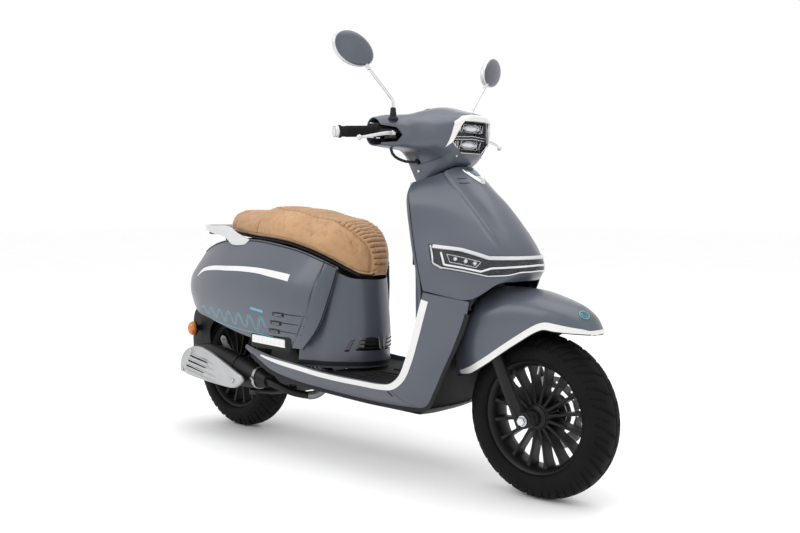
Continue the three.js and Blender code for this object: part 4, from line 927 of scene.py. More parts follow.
def build_lower_body():
    inside = (200, 0, 300)
    for name, side in SIDES:
        body = f"skirt_{name}"
        grid = grid_of([flipped(row, side) for row in SKIRT_ROWS], 150, 30)
        panel(body, grid, inside, [f"side_skirt_{name}"])
        skin = Skin(grid, inside)
        edge = [p + (0, 0, -1) for p in grid[4:140, 0]]
        inner = grid[4:140, 7]
        line = np.array(edge) + unit(np.array(inner) - np.array(edge)) * 11
        strip = skin.ribbon(line[::4], [22, 23, 22, 20, 19, 18, 17, 16, 14, 6], proud=1.1)
        make(f"skirt_strip_{name}", [strip], CREAM, "chassis", bevel=0.5)
        seam = flipped(((270, 205, 294), (292, 195, 270), (322, 176, 243), (345, 160, 234)), side)
        mark = flipped(((262, 204, 279), (276, 199, 263)), side)
        joint = flipped(((414, 215, 588), (475, 192, 577), (536, 158, 565)), side)
        shapes = [skin.ribbon(seam, 1.6, proud=0.25), skin.ribbon(joint, 2.2, proud=0.3)]
        shapes.append(skin.ribbon(mark, 8, proud=0.5, step=2))
        make(f"skirt_seams_{name}", shapes, SEAM, "chassis")
        sill = [p - (0, 0, 2.0) for p in grid[8:-6, -1]]
        make(f"sill_{name}", [sweep(sill, rounded_rect(6, 15, 2.4))], BLACK, "chassis")


def build_rear_body():
    inside = (-400, 0, 550)
    for name, side in SIDES:
        rows = [flipped(row, side) for row in COWL_ROWS]
        grid = grid_of(rows, 170, 70)
        along = np.linspace(0, 1, 170)[:, None] * 9
        fine_down = np.linspace(0, 1, 70)[None, :]
        n = normals_of(grid, inside)
        line = 1.0 - 0.16 * (1 - fine_down)
        groove = np.exp(-(((along - line) / 0.035) ** 2)) * 3.2
        band = smooth_step((line - along) / 0.08) * 2.0
        waist = np.exp(-(((along - line - 0.30) / 0.26) ** 2)) * 2.6
        grid = grid - n * (groove - band * smooth_step(along / 0.3) + waist)[..., None]
        cowl = panel(f"cowl_{name}", grid, inside, [f"side_cowl_{name}"])
        edges = [grid[1, 2:], grid[3:150, 1]]
        seams = [sweep(edge, circle(2.2, 8)) for edge in edges]
        make(f"cowl_edge_seal_{name}", seams, BLACK, "chassis")
        recess = extrude(rounded_rect(*PEG_RECESS), lambda u, v, w: (-281 + u, side * w, 376 + v), 150, 235)
        carve(cowl, [recess])
        skin = Skin(grid, inside)
        build_cowl_trims(name, side, skin)
    grid = grid_of([whole(row) for row in TAIL_ROWS], 60, 60)
    tail = panel("tail", grid, (-700, 0, 550), ["tail_cowl"])
    window = extrude(rounded_rect(124, 60, 14), lambda u, v, w: (w, u, 560 + v), -960, -860)
    carve(tail, [window])
    build_tail_lamp()
    build_column()
    build_mudguard()


def build_cowl_trims(name, side, skin):
    stripe = flipped((
        (-768, 150, 575), (-712, 158, 600), (-640, 172, 611), (-540, 190, 616),
        (-430, 196, 617), (-330, 201, 614), (-277, 203, 609), (-183, 200, 598),
    ), side)
    widths = [2, 12, 16, 17, 18, 19, 21, 23, 24]
    make(f"cowl_stripe_{name}", [skin.ribbon(stripe, widths, proud=0.9)], CREAM, "chassis", bevel=0.4)
    slots, lines, slats = [], [], []
    for k in range(3):
        x, z = -221 - 14 * k, 476 - 29.5 * k
        slot = flipped(((x - 27, 212, z + 1), (x + 27, 212, z - 1)), side)
        slots.append(skin.ribbon(slot, [13, 16, 14], proud=0.5, step=3))
        for low in (-4.2, 0.4):
            slat = flipped(((x - 19, 212, z + low + 1), (x + 17, 212, z + low)), side)
            slats.append(skin.ribbon(slat, 2.2, proud=2.0, step=3))
        tail = flipped(((x + 27, 210, z + 3), (x + 70, 200, z + 1), (x + 118, 190, z - 3)), side)
        lines.append(skin.ribbon(tail, [3.6, 2.6, 1.8], proud=0.35, step=3))
    make(f"cowl_louvres_{name}", slots + lines, BLACK, "chassis")
    make(f"louvre_slats_{name}", slats, CAST, "chassis", bevel=0.3)
    t = np.linspace(0, 1, 220)
    swing = np.sin(t * 41)
    rise = (11 + 15 * t) * np.tanh(2.4 * swing)
    line = np.stack([-722 + 428 * t + 5 * np.sin(t * 82), 452 - 18 * t + rise], axis=1)
    across = np.stack([-np.gradient(line[:, 1]), np.gradient(line[:, 0])], axis=1)
    across /= np.linalg.norm(across, axis=1, keepdims=True)
    motif = []
    for offset in (-3.4, 3.4):
        u, v = (line + across * offset).T
        wave = np.stack([u, np.full_like(u, side * 205), v], axis=1)
        motif.append(skin.ribbon(wave, 1.9, proud=0.35, step=2.5, across=1))
    under = flipped(((-640, 176, 421), (-500, 195, 409), (-380, 204, 401), (-264, 204, 396)), side)
    motif.append(skin.ribbon(under, 2.4, proud=0.35, across=1))
    motif.append(skin.ribbon(flipped(((-366, 208, 488), (-298, 214, 480)), side), 9, proud=0.35))
    make(f"cowl_motif_{name}", motif, CYAN, "chassis")
    ring = [[(-281 + u * k, side * w, 376 + v * k) for u, v in rounded_rect(*PEG_RECESS)]
            for k, w in ((1.0, 201), (0.995, 188), (0.9, 186), (0.05, 186))]
    make(f"peg_well_{name}", [rings(ring)], BLACK, "chassis")
    body = f"footpeg_{name}"
    bar = rounded_rect(170, 27, 3)
    shapes = [extrude(bar, lambda u, v, w: (-286 + u, side * w, 380 + v - 0.03 * u), 192, 206.5)]
    make(f"peg_bar_{name}", shapes, CREAM, body, bevel=1.5, replaces=[body])
    block = extrude(rounded_rect(11, 27, 1), lambda u, v, w: (-199.5 + u, side * w, 379 + v), 192.6, 204.6)
    knuckle = rod((-194, side * 198.5, 365), (-194, side * 198.5, 393), 6.8)
    pin = rod((-194, side * 198.5, 362), (-194, side * 198.5, 396), 4.5)
    ribs = [rod((x, side * 206.3, 372), (x, side * 206.3, 391), 1.0, 8) for x in range(-360, -184, 22)]
    make(f"peg_block_{name}", [block, knuckle, pin], BLACK, body, bevel=1.0)
    make(f"peg_ribs_{name}", ribs, CREAM, body)


def build_tail_lamp():
    outline = rounded_rect(116, 52, 12, 6)
    def section(scale, x):
        return [(x, y * scale, 560 + z * scale) for y, z in outline]
    lens = rings([section(s, x) for s, x in ((1, -874), (1, -899), (0.97, -904), (0.88, -908), (0.5, -910))])
    make("tail_lens", [lens], RED, "chassis", replaces=["tail_light"])
    ribs = [rings([section(k, -909.2), section(k + 0.05, -909.6), section(k + 0.05, -907)], caps=False)
            for k in (0.3, 0.55)]
    frame_ring = rings([section(s, x) for s, x in (
        (1.09, -884), (1.12, -896), (1.06, -902), (1.03, -898), (1.03, -884),
    )], closed=True)
    make("tail_bezel", [frame_ring], GLOSS_BLACK, "chassis", bevel=0.6)
    make("tail_ribs", ribs, RED, "chassis")


def build_column():
    """The panel under the seat's nose, with its slanted vents low on the front corners."""
    inside = (-60, 0, 450)
    grid = grid_of([whole(row) for row in COLUMN_ROWS], 80, 120)
    panel("column", grid, inside, ["seat_column"])
    skin = Skin(grid, inside)
    openings, louvres = [], []
    for side in (-1, 1):
        corners = ((-20, 106, 360), (-2, 93, 400), (8, 84, 401), (-9, 97, 360))
        a, b, c, d = flipped(corners, side)
        openings.append(skin.patch([a, d], [b, c], rows=6, proud=0.5, steps=8))
        a, b, c, d = flipped(((8, 82, 364), (22, 70, 407), (50, 17, 406), (51, 10, 362)), side)
        openings.append(skin.patch([a, d], [b, c], rows=6, proud=0.5, steps=16))
        for k in range(3):
            t = 0.2 + 0.28 * k
            left, right = a + (b - a) * t, d + (c - d) * t
            line = [left + (right - left) * s for s in (0.08, 0.5, 0.92)]
            louvres.append(skin.ribbon(line, 4.0, proud=2.2, step=4))
    a, b, c, d = ((54, -3, 366), (54, -3, 406), (54, 3, 406), (54, 3, 366))
    openings.append(skin.patch([a, d], [b, c], rows=4, proud=0.5, steps=4))
    make("column_vents", openings, GLOSS_BLACK, "chassis")
    make("column_louvres", louvres, BLACK, "chassis", bevel=0.5)
    skirt = grid[2:7]
    low = skinned(skirt, inside, 2.0, 2.4)
    make("column_foot", [low], BLACK, "chassis", bevel=0.5)


def build_mudguard():
    inside = (-680, 0, 350)
    grid = grid_of([whole(row) for row in MUDGUARD_ROWS], 60, 90)
    grid[..., 0] = np.maximum(grid[..., 0], -922.4)
    panel("rear_guard", grid, inside, ["rear_mudguard"], BLACK)
    crown = np.array([[[x, y, z] for y in np.linspace(-58, 58, 20)] for x, z in
                      ((-702, 545), (-737, 539), (-779, 527), (-802, 513))], float)
    make("rear_guard_crown", [skinned(grid_of(list(crown), 20, 20), inside, 3)], BLACK, "chassis", bevel=0.6)
    for name, side in SIDES:
        build_indicator(name, side)


def build_indicator(name, side):
    """An oval amber lens on its dark cup and stalk, with a wire hoop round it."""
    x, y, z = -831, side * 122, 368

    def turned_oval(profile):
        vertices, faces = lathe(profile, (x, y, z), (-0.25, side * 0.95, 0), 36)
        return np.array(vertices) * [1, 1, 1.36] + [0, 0, -z * 0.36], faces

    dome = [(22.5 * math.sin(a), 20.5 * math.cos(a)) for a in np.linspace(-0.35, math.pi / 2, 14)]
    make(f"indicator_lens_{name}", [turned_oval(dome)], AMBER, "chassis", replaces=[f"rear_indicator_{name}"])
    cap = turned_oval([(-16, 8), (-14, 15), (-8, 20.8), (-4, 21.6), (-4, 18)])
    stalk = rod((x, side * 93, z), (x, side * 110, z), 8.5)
    collar = rod((x, side * 93, z), (x, side * 98, z), 13)
    arc = [(x - 25 - 9 * math.cos(a), side * 112, z + 4 + 9 * math.sin(a))
           for a in np.linspace(-2.6, 2.6, 24)]
    hoop = sweep(arc, circle(2.4, 10), up=(0, 1, 0))
    make(f"indicator_body_{name}", [cap, stalk, collar, hoop], BLACK, "chassis", bevel=0.8)


build_front_body()
build_gap_shade_and_splash_panel()
build_lower_body()
build_rear_body()


# ---- front fender --------------------------------------------------------------------------------
def build_fender():
    inside = (650, 0, 400)
    grid = grid_of([whole(row) for row in FENDER_ROWS], 150, 110)
    fender = panel("fender", grid, inside, ["front_fender"], body="steering")
    carve(fender, [rod((394, 0, 739.5), (520, 0, 487), 22, 32)])
    skin = Skin(grid, inside)
    strips = []
    for side in (0, -1):
        edge, inner = grid[14:132, side], grid[14:132, 12 if side == 0 else -13]
        line = edge + unit(inner - edge) * 11
        strips.append(skin.ribbon(line[::5], [15, 22, 23, 22, 21, 20, 18, 10], proud=1.1))
    nose = grid[14:132, 0][0] + unit(grid[14, 12] - grid[14, 0]) * 11
    front = [nose, grid[8, 12], grid[5, 55], grid[8, -13], nose * [1, -1, 1]]
    strips.append(skin.ribbon(front, [15, 13, 12, 13, 15], proud=1.1))
    make("fender_strip", strips, CREAM, "steering", bevel=0.5)
    at, n = skin.near((827, -25, 536))
    emblem = lathe([(0, 15), (1.2, 15), (1.6, 13.6), (1.2, 12.2), (0, 12.2)], at, n, 48, ring=True)
    inner = lathe([(0, 9), (1.0, 9), (1.3, 8), (1.0, 7), (0, 7)], at, n, 48, ring=True)
    make("fender_rings", [emblem, inner], CYAN, "steering")
    edge_line = [grid[k, 0] for k in range(4, 146)]
    other = [grid[k, -1] for k in range(4, 146)]
    make("fender_lip", [sweep(line, circle(1.6, 8)) for line in (edge_line, other)], BLACK, "steering")


# ---- headset ---------------------------------------------------------------------------------------
# Sections of the headset cover at one side distance, as [x, z] corners.
COVER_SECTIONS = [
    [0, [372, 947], [310, 917], [250, 890], [228, 935], [214, 990], [212, 1060], [236, 1108],
      [304, 1136], [385, 1121], [450, 1097], [447, 1084], [440, 1040], [430, 995], [415, 968]],
    [35, [370, 947], [310, 917], [252, 891], [229, 935], [214, 990], [212, 1060], [236, 1107],
      [302, 1133], [380, 1119], [446, 1097], [443, 1085], [437, 1040], [428, 995], [411, 970]],
    [60, [352, 942], [310, 921], [265, 899], [236, 938], [215, 992], [212, 1060], [234, 1105],
      [296, 1127], [370, 1113], [437, 1089], [434, 1075], [431, 1040], [423, 1003], [395, 968]],
    [80, [345, 975], [305, 965], [262, 958], [238, 975], [214, 1000], [210, 1060], [232, 1103],
      [288, 1121], [355, 1107], [419, 1079], [420, 1067], [419, 1040], [410, 1008], [376, 984]],
    [110, [336, 999], [295, 997], [250, 996], [228, 1003], [211, 1020], [207, 1060], [226, 1100],
      [268, 1112], [322, 1099], [374, 1074], [383, 1060], [386, 1043], [382, 1021], [358, 1005]],
    [150, [300, 1008], [275, 1005], [240, 1005], [222, 1010], [208, 1026], [205, 1062], [220, 1098],
      [248, 1108], [280, 1098], [307, 1076], [315, 1060], [317, 1045], [315, 1028], [309, 1014]],
    [190, [285, 1011], [262, 1008], [236, 1008], [220, 1013], [206, 1028], [203, 1062], [217, 1096],
      [243, 1105], [268, 1096], [286, 1076], [292, 1060], [294, 1045], [293, 1030], [290, 1017]],
    [230, [262, 1014], [248, 1012], [232, 1012], [216, 1018], [205, 1032], [203, 1060], [214, 1088],
      [232, 1096], [248, 1090], [262, 1074], [266, 1060], [267, 1046], [267, 1032], [265, 1021]],
]
LAMP_TILT = math.radians(12.4)
LAMP_OUTLINE = [(-84, -16), (-56, 46), (56, 46), (84, -16), (50, -46), (-50, -46)]


def lamp_point(a, y, z):
    """A point of the headlamp: `a` forward of its face, y across, z up its face."""
    c, s = math.cos(LAMP_TILT), math.sin(LAMP_TILT)
    return np.array((424 + a * c + z * s, y, 1038 - a * s + z * c))


def across_lamp(u, v, w):
    return lamp_point(w, u, v)


def cover_grid():
    rows = []
    for side in (-1, 1):
        part = [[(x, side * y, z) for x, z in corners] for y, *corners in COVER_SECTIONS[1:]]
        rows += part[::-1] if side < 0 else [[(x, 0, z) for x, z in COVER_SECTIONS[0][1:]]] + part
    fine = np.array([spline(row, 96, closed=True) for row in rows])
    return np.stack([spline(fine[:, j], 125) for j in range(96)], axis=1)


def build_headset():
    grid = cover_grid()
    along = np.gradient(grid, axis=0)
    around = np.roll(grid, -1, axis=1) - np.roll(grid, 1, axis=1)
    n = unit(np.cross(along, around))
    centre = grid.mean(axis=1, keepdims=True)
    n = n if np.sum(n * (grid - centre)) > 0 else -n
    inner = grid - n * 3
    cover = make("headset", [rings(list(grid) + list(inner[::-1]), closed=True)], PAINT, "steering",
                 bevel=0.8, replaces=["headset_cover"])
    lamp_hole = extrude([(y * 1.03, z * 1.03) for y, z in LAMP_OUTLINE], across_lamp, -60, 60)
    tilt = math.radians(22)
    def dash(a, y, up):
        return (264 + a * math.cos(tilt) - up * math.sin(tilt), y,
                1108 + a * math.sin(tilt) + up * math.cos(tilt))
    dash_hole = extrude(rounded_rect(80, 126, 14), dash, -30, 40)
    cutters = [rod((340, 0, 860), (282, 0, 976), 50, 48), lamp_hole, dash_hole]
    for side in (-1, 1):
        mouth = [(176, 1044), (190, 1066), (262, 1078), (262, 1018), (190, 1024)]
        cutters.append(extrude([(side * y, z) for y, z in mouth], across_front, 250, 345))
        rear = [(172, 1038), (224, 1038), (224, 1082), (172, 1082)]
        cutters.append(extrude([(side * y, z) for y, z in rear], across_front, 190, 232))
        cutters.append(rod((256, side * 172, 1028), (247, side * 171, 994), 8, 24))
        cutters.append(rod((269.5, side * 122, 965.7), (286, side * 70, 970.4), 8.5, 24))
    carve(cover, cutters)
    skin = Skin(np.concatenate([grid, grid[:, :1]], axis=1), (290, 0, 1040))
    build_lamp_bezel(skin)
    build_headlamp()
    build_dash(dash)
    shapes = []
    for side in (-1, 1):
        at = skin.seen((275, side * 190, 1100), (0, 0, -1))[0]
        shapes.append(lathe([(-3, 15), (2, 15), (6, 12), (9, 10.5), (9, 0)], at, (0, 0, 1), 32))
    make("mirror_feet", shapes, BLACK, "steering", bevel=0.5)
    screws = []
    for side in (-1, 1):
        at, n = skin.near((275, side * 74, 941))
        screws.append(bolt(at, n, 5))
    make("headset_screws", screws, CHROME, "steering")
    seam = [skin.near((x, -78, z))[0] for x, z in ((372, 985), (330, 972), (300, 966), (262, 960))]
    seams = [skin.ribbon(flipped(seam, s), 1.8, proud=0.2) for s in (1, -1)]
    make("headset_seams", seams, SEAM, "steering")


def lamp_edge(a, y, z):
    """A point of the lamp's rim, which sweeps back towards its side corners."""
    return lamp_point(a - 10 * (y / 84) ** 2, y, z)


def build_lamp_bezel(skin):
    """The pale hood round the lamp's sides and top, and the thin rim below it."""
    inner = polyline([(-86, -18), (-58, 47.5), (58, 47.5), (86, -18)], 90)
    right = [(34, 65), (58, 61), (80, 44), (93, -22), (93, -30)]
    outer = polyline([(-y, z) for y, z in right[::-1]] + right, 90)
    top, under = [], []
    for k in range(9):
        t = k / 8
        line = inner + (outer - inner) * t
        hits = [skin.seen(lamp_point(0, y, z), (-1, 0, 0)) for y, z in line]
        proud = 2.2 + 5.5 * (1 - t) ** 1.5
        top.append([q + m * proud for q, m in hits])
        under.append([q - m * 1.0 for q, m in hits])
    for grid in (top, under):
        grid[0] = [lamp_edge(8 if grid is top else -2, y, z) for y, z in inner]
    make("lamp_hood", [slab(np.array(top), np.array(under))], CREAM, "steering", bevel=1.2)
    low = [lamp_edge(4.5, y, z) for y, z in polyline([(-85, -17), (-51, -47.5), (51, -47.5), (85, -17)], 80)]
    tabs = [rod(lamp_edge(4, side * 52, -46), lamp_edge(2, side * 60, -60), 2.3, 12) for side in (-1, 1)]
    make("lamp_rim", [sweep(low, rounded_rect(6, 4, 1.6))] + tabs, CHROME, "steering", bevel=0.4)
    chin = extrude([(-50, -49), (50, -49), (40, -63), (-40, -63)], across_lamp, -10, 1.5)
    make("lamp_chin", [chin], BLACK, "steering", bevel=1.5)
    screw = bolt(lamp_point(1.5, 0, -56), (math.cos(LAMP_TILT), 0, -math.sin(LAMP_TILT)), 4)
    make("lamp_chin_screw", [screw], STEEL, "steering")


def build_headlamp():
    """Two tiers of projector lenses with side fins, split by two bright bars, behind a clear cover."""
    forward = lamp_point(1, 0, 0) - lamp_point(0, 0, 0)
    def ring(scale, a):
        return [lamp_edge(a, y * scale, z * scale) for y, z in LAMP_OUTLINE]
    bowl = rings([ring(1.0, -2), ring(1.0, -42), ring(0.96, -42), ring(0.96, -2)], closed=True)
    back = rings([ring(0.97, -36), ring(0.97, -40)])
    make("lamp_bowl", [bowl, back], LAMP_HOUSING, "steering", bevel=0.8, replaces=["headlight_unit"])
    bars, fins, tiers, bulbs, cups = [], [], [], [], []
    for z in (3.5, -4.5):
        path = np.array([lamp_edge(-3, y, z - 0.07 * abs(y)) for y in np.linspace(-72, 72, 30)])
        bars.append(sweep(path, rounded_rect(7, 2.6, 1.1)))
    for middle, half, width in ((25, 12, 88), (-25, 13, 84)):
        for side in (-1, 1):
            for k in range(2):
                y0 = 49 + 6 * k
                low, high = middle - half * (0.95 - 0.1 * k), middle + half * (0.95 - 0.12 * k)
                fins.append(extrude([(side * y0, low), (side * (y0 + 4.2), low),
                                     (side * (y0 + 7.2), high), (side * (y0 + 3), high)],
                                    across_lamp, -34, -10 - 3 * k))
        frame_line = [(-width / 2 - 2, middle - half), (width / 2 + 2, middle - half),
                      (width / 2 - 4, middle + half), (-width / 2 + 4, middle + half)]
        sections = [[lamp_point(a, y * s, middle + (z - middle) * s) for y, z in frame_line]
                    for s, a in ((1.0, -10), (1.05, -34), (0.98, -34), (0.94, -10))]
        tiers.append(rings(sections, closed=True))
        dish = [(-22, 5), (-17, 12), (-12, 15.5), (-9, 17), (-9.5, 18), (-24, 18), (-24, 5)]
        at = lamp_point(0, 0, middle)
        shape = lathe(dish, at, forward, 40, ring=True)
        cups.append(stretched(shape, at, 2.15, 0.66))
        profile = [(-22, 12), (-14, 12.5)]
        profile += [(-14 + 8 * math.sin(a), 12.5 * math.cos(a)) for a in np.linspace(0.1, 1.5, 9)]
        bulbs.append(stretched(lathe(profile, at, forward, 40), at, 2.3, 0.72))
    make("lamp_bars", bars, CHROME, "steering", bevel=0.3)
    make("lamp_fins", fins, REFLECTOR, "steering", bevel=0.6)
    make("lamp_tier_frames", tiers, CHROME, "steering", bevel=0.6)
    make("lamp_cups", cups, REFLECTOR, "steering")
    make("lamp_projectors", bulbs, LIGHT_GUIDE, "steering")
    cover = rings([ring(1.0, -3), ring(1.0, 3), ring(0.93, 6.5), ring(0.6, 8.0), ring(0.05, 8.2),
                   ring(0.05, 6.2), ring(0.6, 6.0), ring(0.92, 4.5), ring(0.97, 2), ring(0.97, -3)],
                  closed=True)
    make("lamp_glass", [cover], LENS, "steering", bevel=1.5)


def stretched(shape, centre, wide, tall):
    """The shape scaled across the lamp and up its face, about a point."""
    vertices, faces = shape
    forward = lamp_point(1, 0, 0) - lamp_point(0, 0, 0)
    rise = lamp_point(0, 0, 1) - lamp_point(0, 0, 0)
    d = np.asarray(vertices) - centre
    across = np.outer(d[:, 1] * wide, (0, 1, 0))
    scaled = np.outer(d @ forward, forward) + across + np.outer(d @ rise * tall, rise)
    return centre + scaled, faces


def build_dash(dash):
    outline = rounded_rect(76, 122, 14, 6)
    body = [[dash(u * s, v * s, w) for u, v in outline] for s, w in
            ((0.97, -9), (1.0, -8), (1.0, 7.5), (0.985, 9.3),
             (0.95, 9.8), (0.9, 7.6), (0.88, 7.4), (0.05, 7.4))]
    make("dash_case", [rings(body)], BLACK, "steering", replaces=["instrument_panel"])
    glass = [[dash(u * s, v * s, w) for u, v in outline]
             for s, w in ((0.88, 7.6), (0.87, 8.6), (0.6, 9.3), (0.05, 9.4))]
    make("dash_glass", [rings(glass)], DISPLAY, "steering")
    ring = lathe([(7, 27), (10.0, 27), (10.4, 25.5), (10.0, 24), (7, 24)], (0, 0, 0), (0, 0, 1), 56,
                 ring=True)
    ring = (np.array([dash(-x, y, z - 0.4) for x, y, z in ring[0]]), ring[1])
    ticks = []
    for k in range(25):
        angle = math.radians(-120 + 10 * k)
        r0 = 18.5 if k % 4 else 16
        a = [dash(-r * math.cos(angle), r * math.sin(angle), 9.5) for r in (r0, 22)]
        ticks.append(rod(a[0], a[1], 0.45, 6))
    make("dash_ring", [ring] + ticks, SILVER, "steering")


# ---- mirrors, grips and levers ------------------------------------------------------------------------
MIRROR_LEAN = math.radians(20.8)
MIRROR_YAW = math.radians(12.4)


def mirror_point(side, x, y, z):
    """From the mirror head's own axes: x forward, y outward, z up."""
    c, s = math.cos(MIRROR_LEAN), math.sin(MIRROR_LEAN)
    y, z = y * c - z * s, y * s + z * c
    c, s = math.cos(MIRROR_YAW), math.sin(MIRROR_YAW)
    x, y = x * c - y * s, x * s + y * c
    return 250 + x, side * (327 + y), 1281 + z


def build_mirrors():
    for name, side in SIDES:
        def ring(x, grow):
            size = 0.88 * math.sqrt(max(0.0, 1 - (x / 16) ** 2)) if grow is None else grow
            return [mirror_point(side, x, 77 * size * math.cos(a),
                                 51 * size * math.sin(a) * (1 + 0.05 * math.cos(a)))
                    for a in full_turn(72)]
        body = f"mirror_{name}"
        steps = [3, 3.6, 5, 7, 9, 11, 13, 14.6, 15.5, 15.9]
        cap = rings([ring(1.5, 0.845)] + [ring(x, None) for x in steps] + [ring(15.98, 0.02)])
        make(f"mirror_cap_{name}", [cap], PAINT, body, replaces=[f"mirror_head_{name}"])
        rim = [ring(x, k) for x, k in (
            (-13, 0.87), (-12, 0.90), (-7, 0.925), (-2, 0.92), (2.2, 0.895), (3.0, 0.86),
            (-6, 0.85), (-11.4, 0.84), (-12.8, 0.85),
        )]
        make(f"mirror_rim_{name}", [rings(rim, closed=True)], SILVER, body)
        glass = rings([ring(-8, 0.84), ring(-10.6, 0.845), ring(-10.8, 0.75), ring(-10.8, 0.02)])
        make(f"mirror_glass_{name}", [glass], MIRROR_GLASS, body)
        socket = np.array((260, side * 279, 1231))
        neck = rod(socket, socket + unit(np.array((250, side * 327, 1281)) - socket) * 18, 6.2, 20)
        make(f"mirror_neck_{name}", [neck], SILVER, body, bevel=0.5)
        arm = f"mirror_arm_{name}"
        route = [(275, 190, 1104), (275, 190, 1136), (274.5, 193, 1146),
                 (272, 208, 1162), (265, 248, 1201), (260.5, 276, 1228)]
        path = spline(flipped(route, side), 60)
        make(f"mirror_tube_{name}",
             [sweep(path, circle(4.6, 16), up=(1, 0, 0)), ball((260, side * 279, 1231), 6.9)],
             CHROME, arm, replaces=[f"mirror_stem_{name}"])
        collar = lathe([(0, 9), (2, 9.6), (9, 9.6), (11, 8.6), (20, 8.4), (23, 7.4), (24, 5), (24, 0)],
                       (275, side * 190, 1100), (0, 0, 1), 32)
        make(f"mirror_collar_{name}", [collar], BLACK, arm, bevel=0.4)


def bar_point(y):
    out = abs(y) - 230
    return np.array((246 - out * 0.425, y, 1054 - out * 0.045))


def build_controls():
    for name, side in SIDES:
        start, end = bar_point(side * 233), bar_point(side * 341)
        length = float(np.linalg.norm(end - start))
        profile = [(0, 12), (0, 19.4), (1.5, 20), (4, 20), (5.2, 19), (6, 16.2)]
        for k in range(36):
            x = 9 + 2.4 * k
            profile += [(x, 15.4), (x + 0.5, 16.4), (x + 1.5, 16.4), (x + 2.0, 15.4)]
        profile += [(length - 8, 15.6), (length - 7, 18.2), (length - 2, 18.4), (length - 0.5, 17.4),
                    (length, 12)]
        body = "throttle_grip" if side < 0 else "steering"
        node = "throttle_grip" if side < 0 else "grip_left"
        make(f"grip_sleeve_{name}", [lathe(profile, start, end - start, 48, ring=True)], RUBBER, body,
             replaces=[node])
        cap = [(0, 10), (0, 16.2), (2, 17), (9, 17), (11.2, 16), (12.4, 13), (13, 8), (13, 0)]
        make(f"bar_end_{name}", [lathe(cap, bar_point(side * 342), end - start, 40)], SILVER, "steering")
        lever = f"brake_lever_{name}"
        path = spline(flipped((
            (291, 208, 1046), (296, 222, 1046), (300, 240, 1045), (299.5, 262, 1042),
            (296, 290, 1037), (287, 315, 1032), (279, 331, 1029),
        ), side), 60)
        blade = sweep(path, rounded_rect(9, 13, 3.6), scale=lambda t: 1.0 - 0.42 * t)
        hub = lathe([(-5, 6), (-4.6, 9.6), (4.6, 9.6), (5, 6)], (292, side * 212, 1046), (0, 0, 1), 32)
        make(f"lever_blade_{name}", [blade, hub, ball((278, side * 335, 1028.4), 8.2)], SILVER, lever,
             "steel", bevel=0.6, replaces=[lever])
        pivot = rod((292, side * 212, 1039), (292, side * 212, 1054), 3.6, 6)
        make(f"lever_pivot_{name}", [pivot], CHROME, "steering")
        path = spline(flipped(((270, 172, 1046), (262, 172, 1030), (254, 172, 1014)), side), 14)
        boot = sweep(path, circle(6.4, 16), scale=lambda t: 1.0 - 0.18 * t, up=(0, 1, 0))
        make(f"hose_boot_{name}", [boot], RUBBER, "steering")


# ---- wheels ----------------------------------------------------------------------------------------
SPOKES = 16
# Along a spoke: distance from the axle, width, and its two faces along the axle.
SPOKE_STATIONS = ((30, 12, -32, 24), (52, 9.5, -27, 20), (90, 8.6, -24, 17), (128, 9.6, -26, 18),
                  (151, 15, -30, 22))


def build_tyre(name, body, axle):
    """A tyre with sweeping tread grooves and moulded lines on its sidewalls."""
    half = [(0, 236.3), (16, 235.2), (30, 231.0), (42, 222.5), (51, 210), (57, 197), (59.5, 184), (58, 172),
            (53, 164.6), (46, 161)]
    line = np.array([(-y, r) for y, r in half[:0:-1]] + half, float)
    fine = spline(line, 73)
    turns = 720
    y, r = fine[:, 0][None, :], fine[:, 1][None, :]
    th = full_turn(turns)[:, None]
    reach = np.abs(y) / 60
    side = np.where(y < 0, -1.0, 1.0)
    tread = smooth_step((r - 203) / 6)
    phase = th * 26 / (2 * math.pi) + np.where(side < 0, 0.0, 0.5)
    sweep_line = (phase - 0.9 * reach**1.2) % 1.0
    wide = 0.055 + 0.035 * reach
    groove = np.exp(-(((sweep_line - 0.5) / wide) ** 4)) * smooth_step((reach - 0.10) / 0.06) * tread
    second = (phase + 0.5 - 0.75 * reach) % 1.0
    short = np.exp(-(((second - 0.5) / 0.035) ** 4)) * smooth_step((reach - 0.45) / 0.06) * tread
    centre = np.exp(-((y / 2.2) ** 4)) * 3.0
    rings_low = sum(h * np.exp(-(((r - at) / spread) ** 2))
                    for at, h, spread in ((203, 1.6, 1.0), (186, 0.8, 1.0), (170, 1.6, 1.5)))
    blocks = 0.7 * smooth_step(np.sin(th * 40) * 4) * np.exp(-(((r - 193) / 3.4) ** 4))
    depth = -(6.8 * groove + 5.0 * short + centre) + rings_low + blocks
    radius = r + depth * np.clip((r - 150) / 60, 0.35, 1)
    width = y + side * np.where(r < 205, rings_low * 0.5 + blocks * 0.6, 0)
    width = np.clip(width, -59.9, 59.9)
    outer = np.stack([radius * np.cos(th), np.broadcast_to(width, radius.shape), radius * np.sin(th)],
                     axis=-1)
    inner_line = np.array([(40, 163), (47, 178), (44, 196), (30, 216), (0, 224), (-30, 216), (-44, 196),
                           (-47, 178), (-40, 163)], float)
    bead = spline(inner_line, 17)
    hollow = np.stack([bead[:, 1][None] * np.cos(th), np.broadcast_to(bead[:, 0][None], (turns, 17)),
                       bead[:, 1][None] * np.sin(th)], axis=-1)
    sections = np.concatenate([outer, hollow], axis=1) + np.array(axle, float)
    make(f"{name}_tyre_cover", [rings(sections, closed=True)], TYRE, body, replaces=[f"{name}_tyre"])


def clock_hand(angle):
    """Unit vectors outwards and around at an angle of a wheel."""
    c, s = math.cos(angle), math.sin(angle)
    return np.array((c, 0, s)), np.array((-s, 0, c))


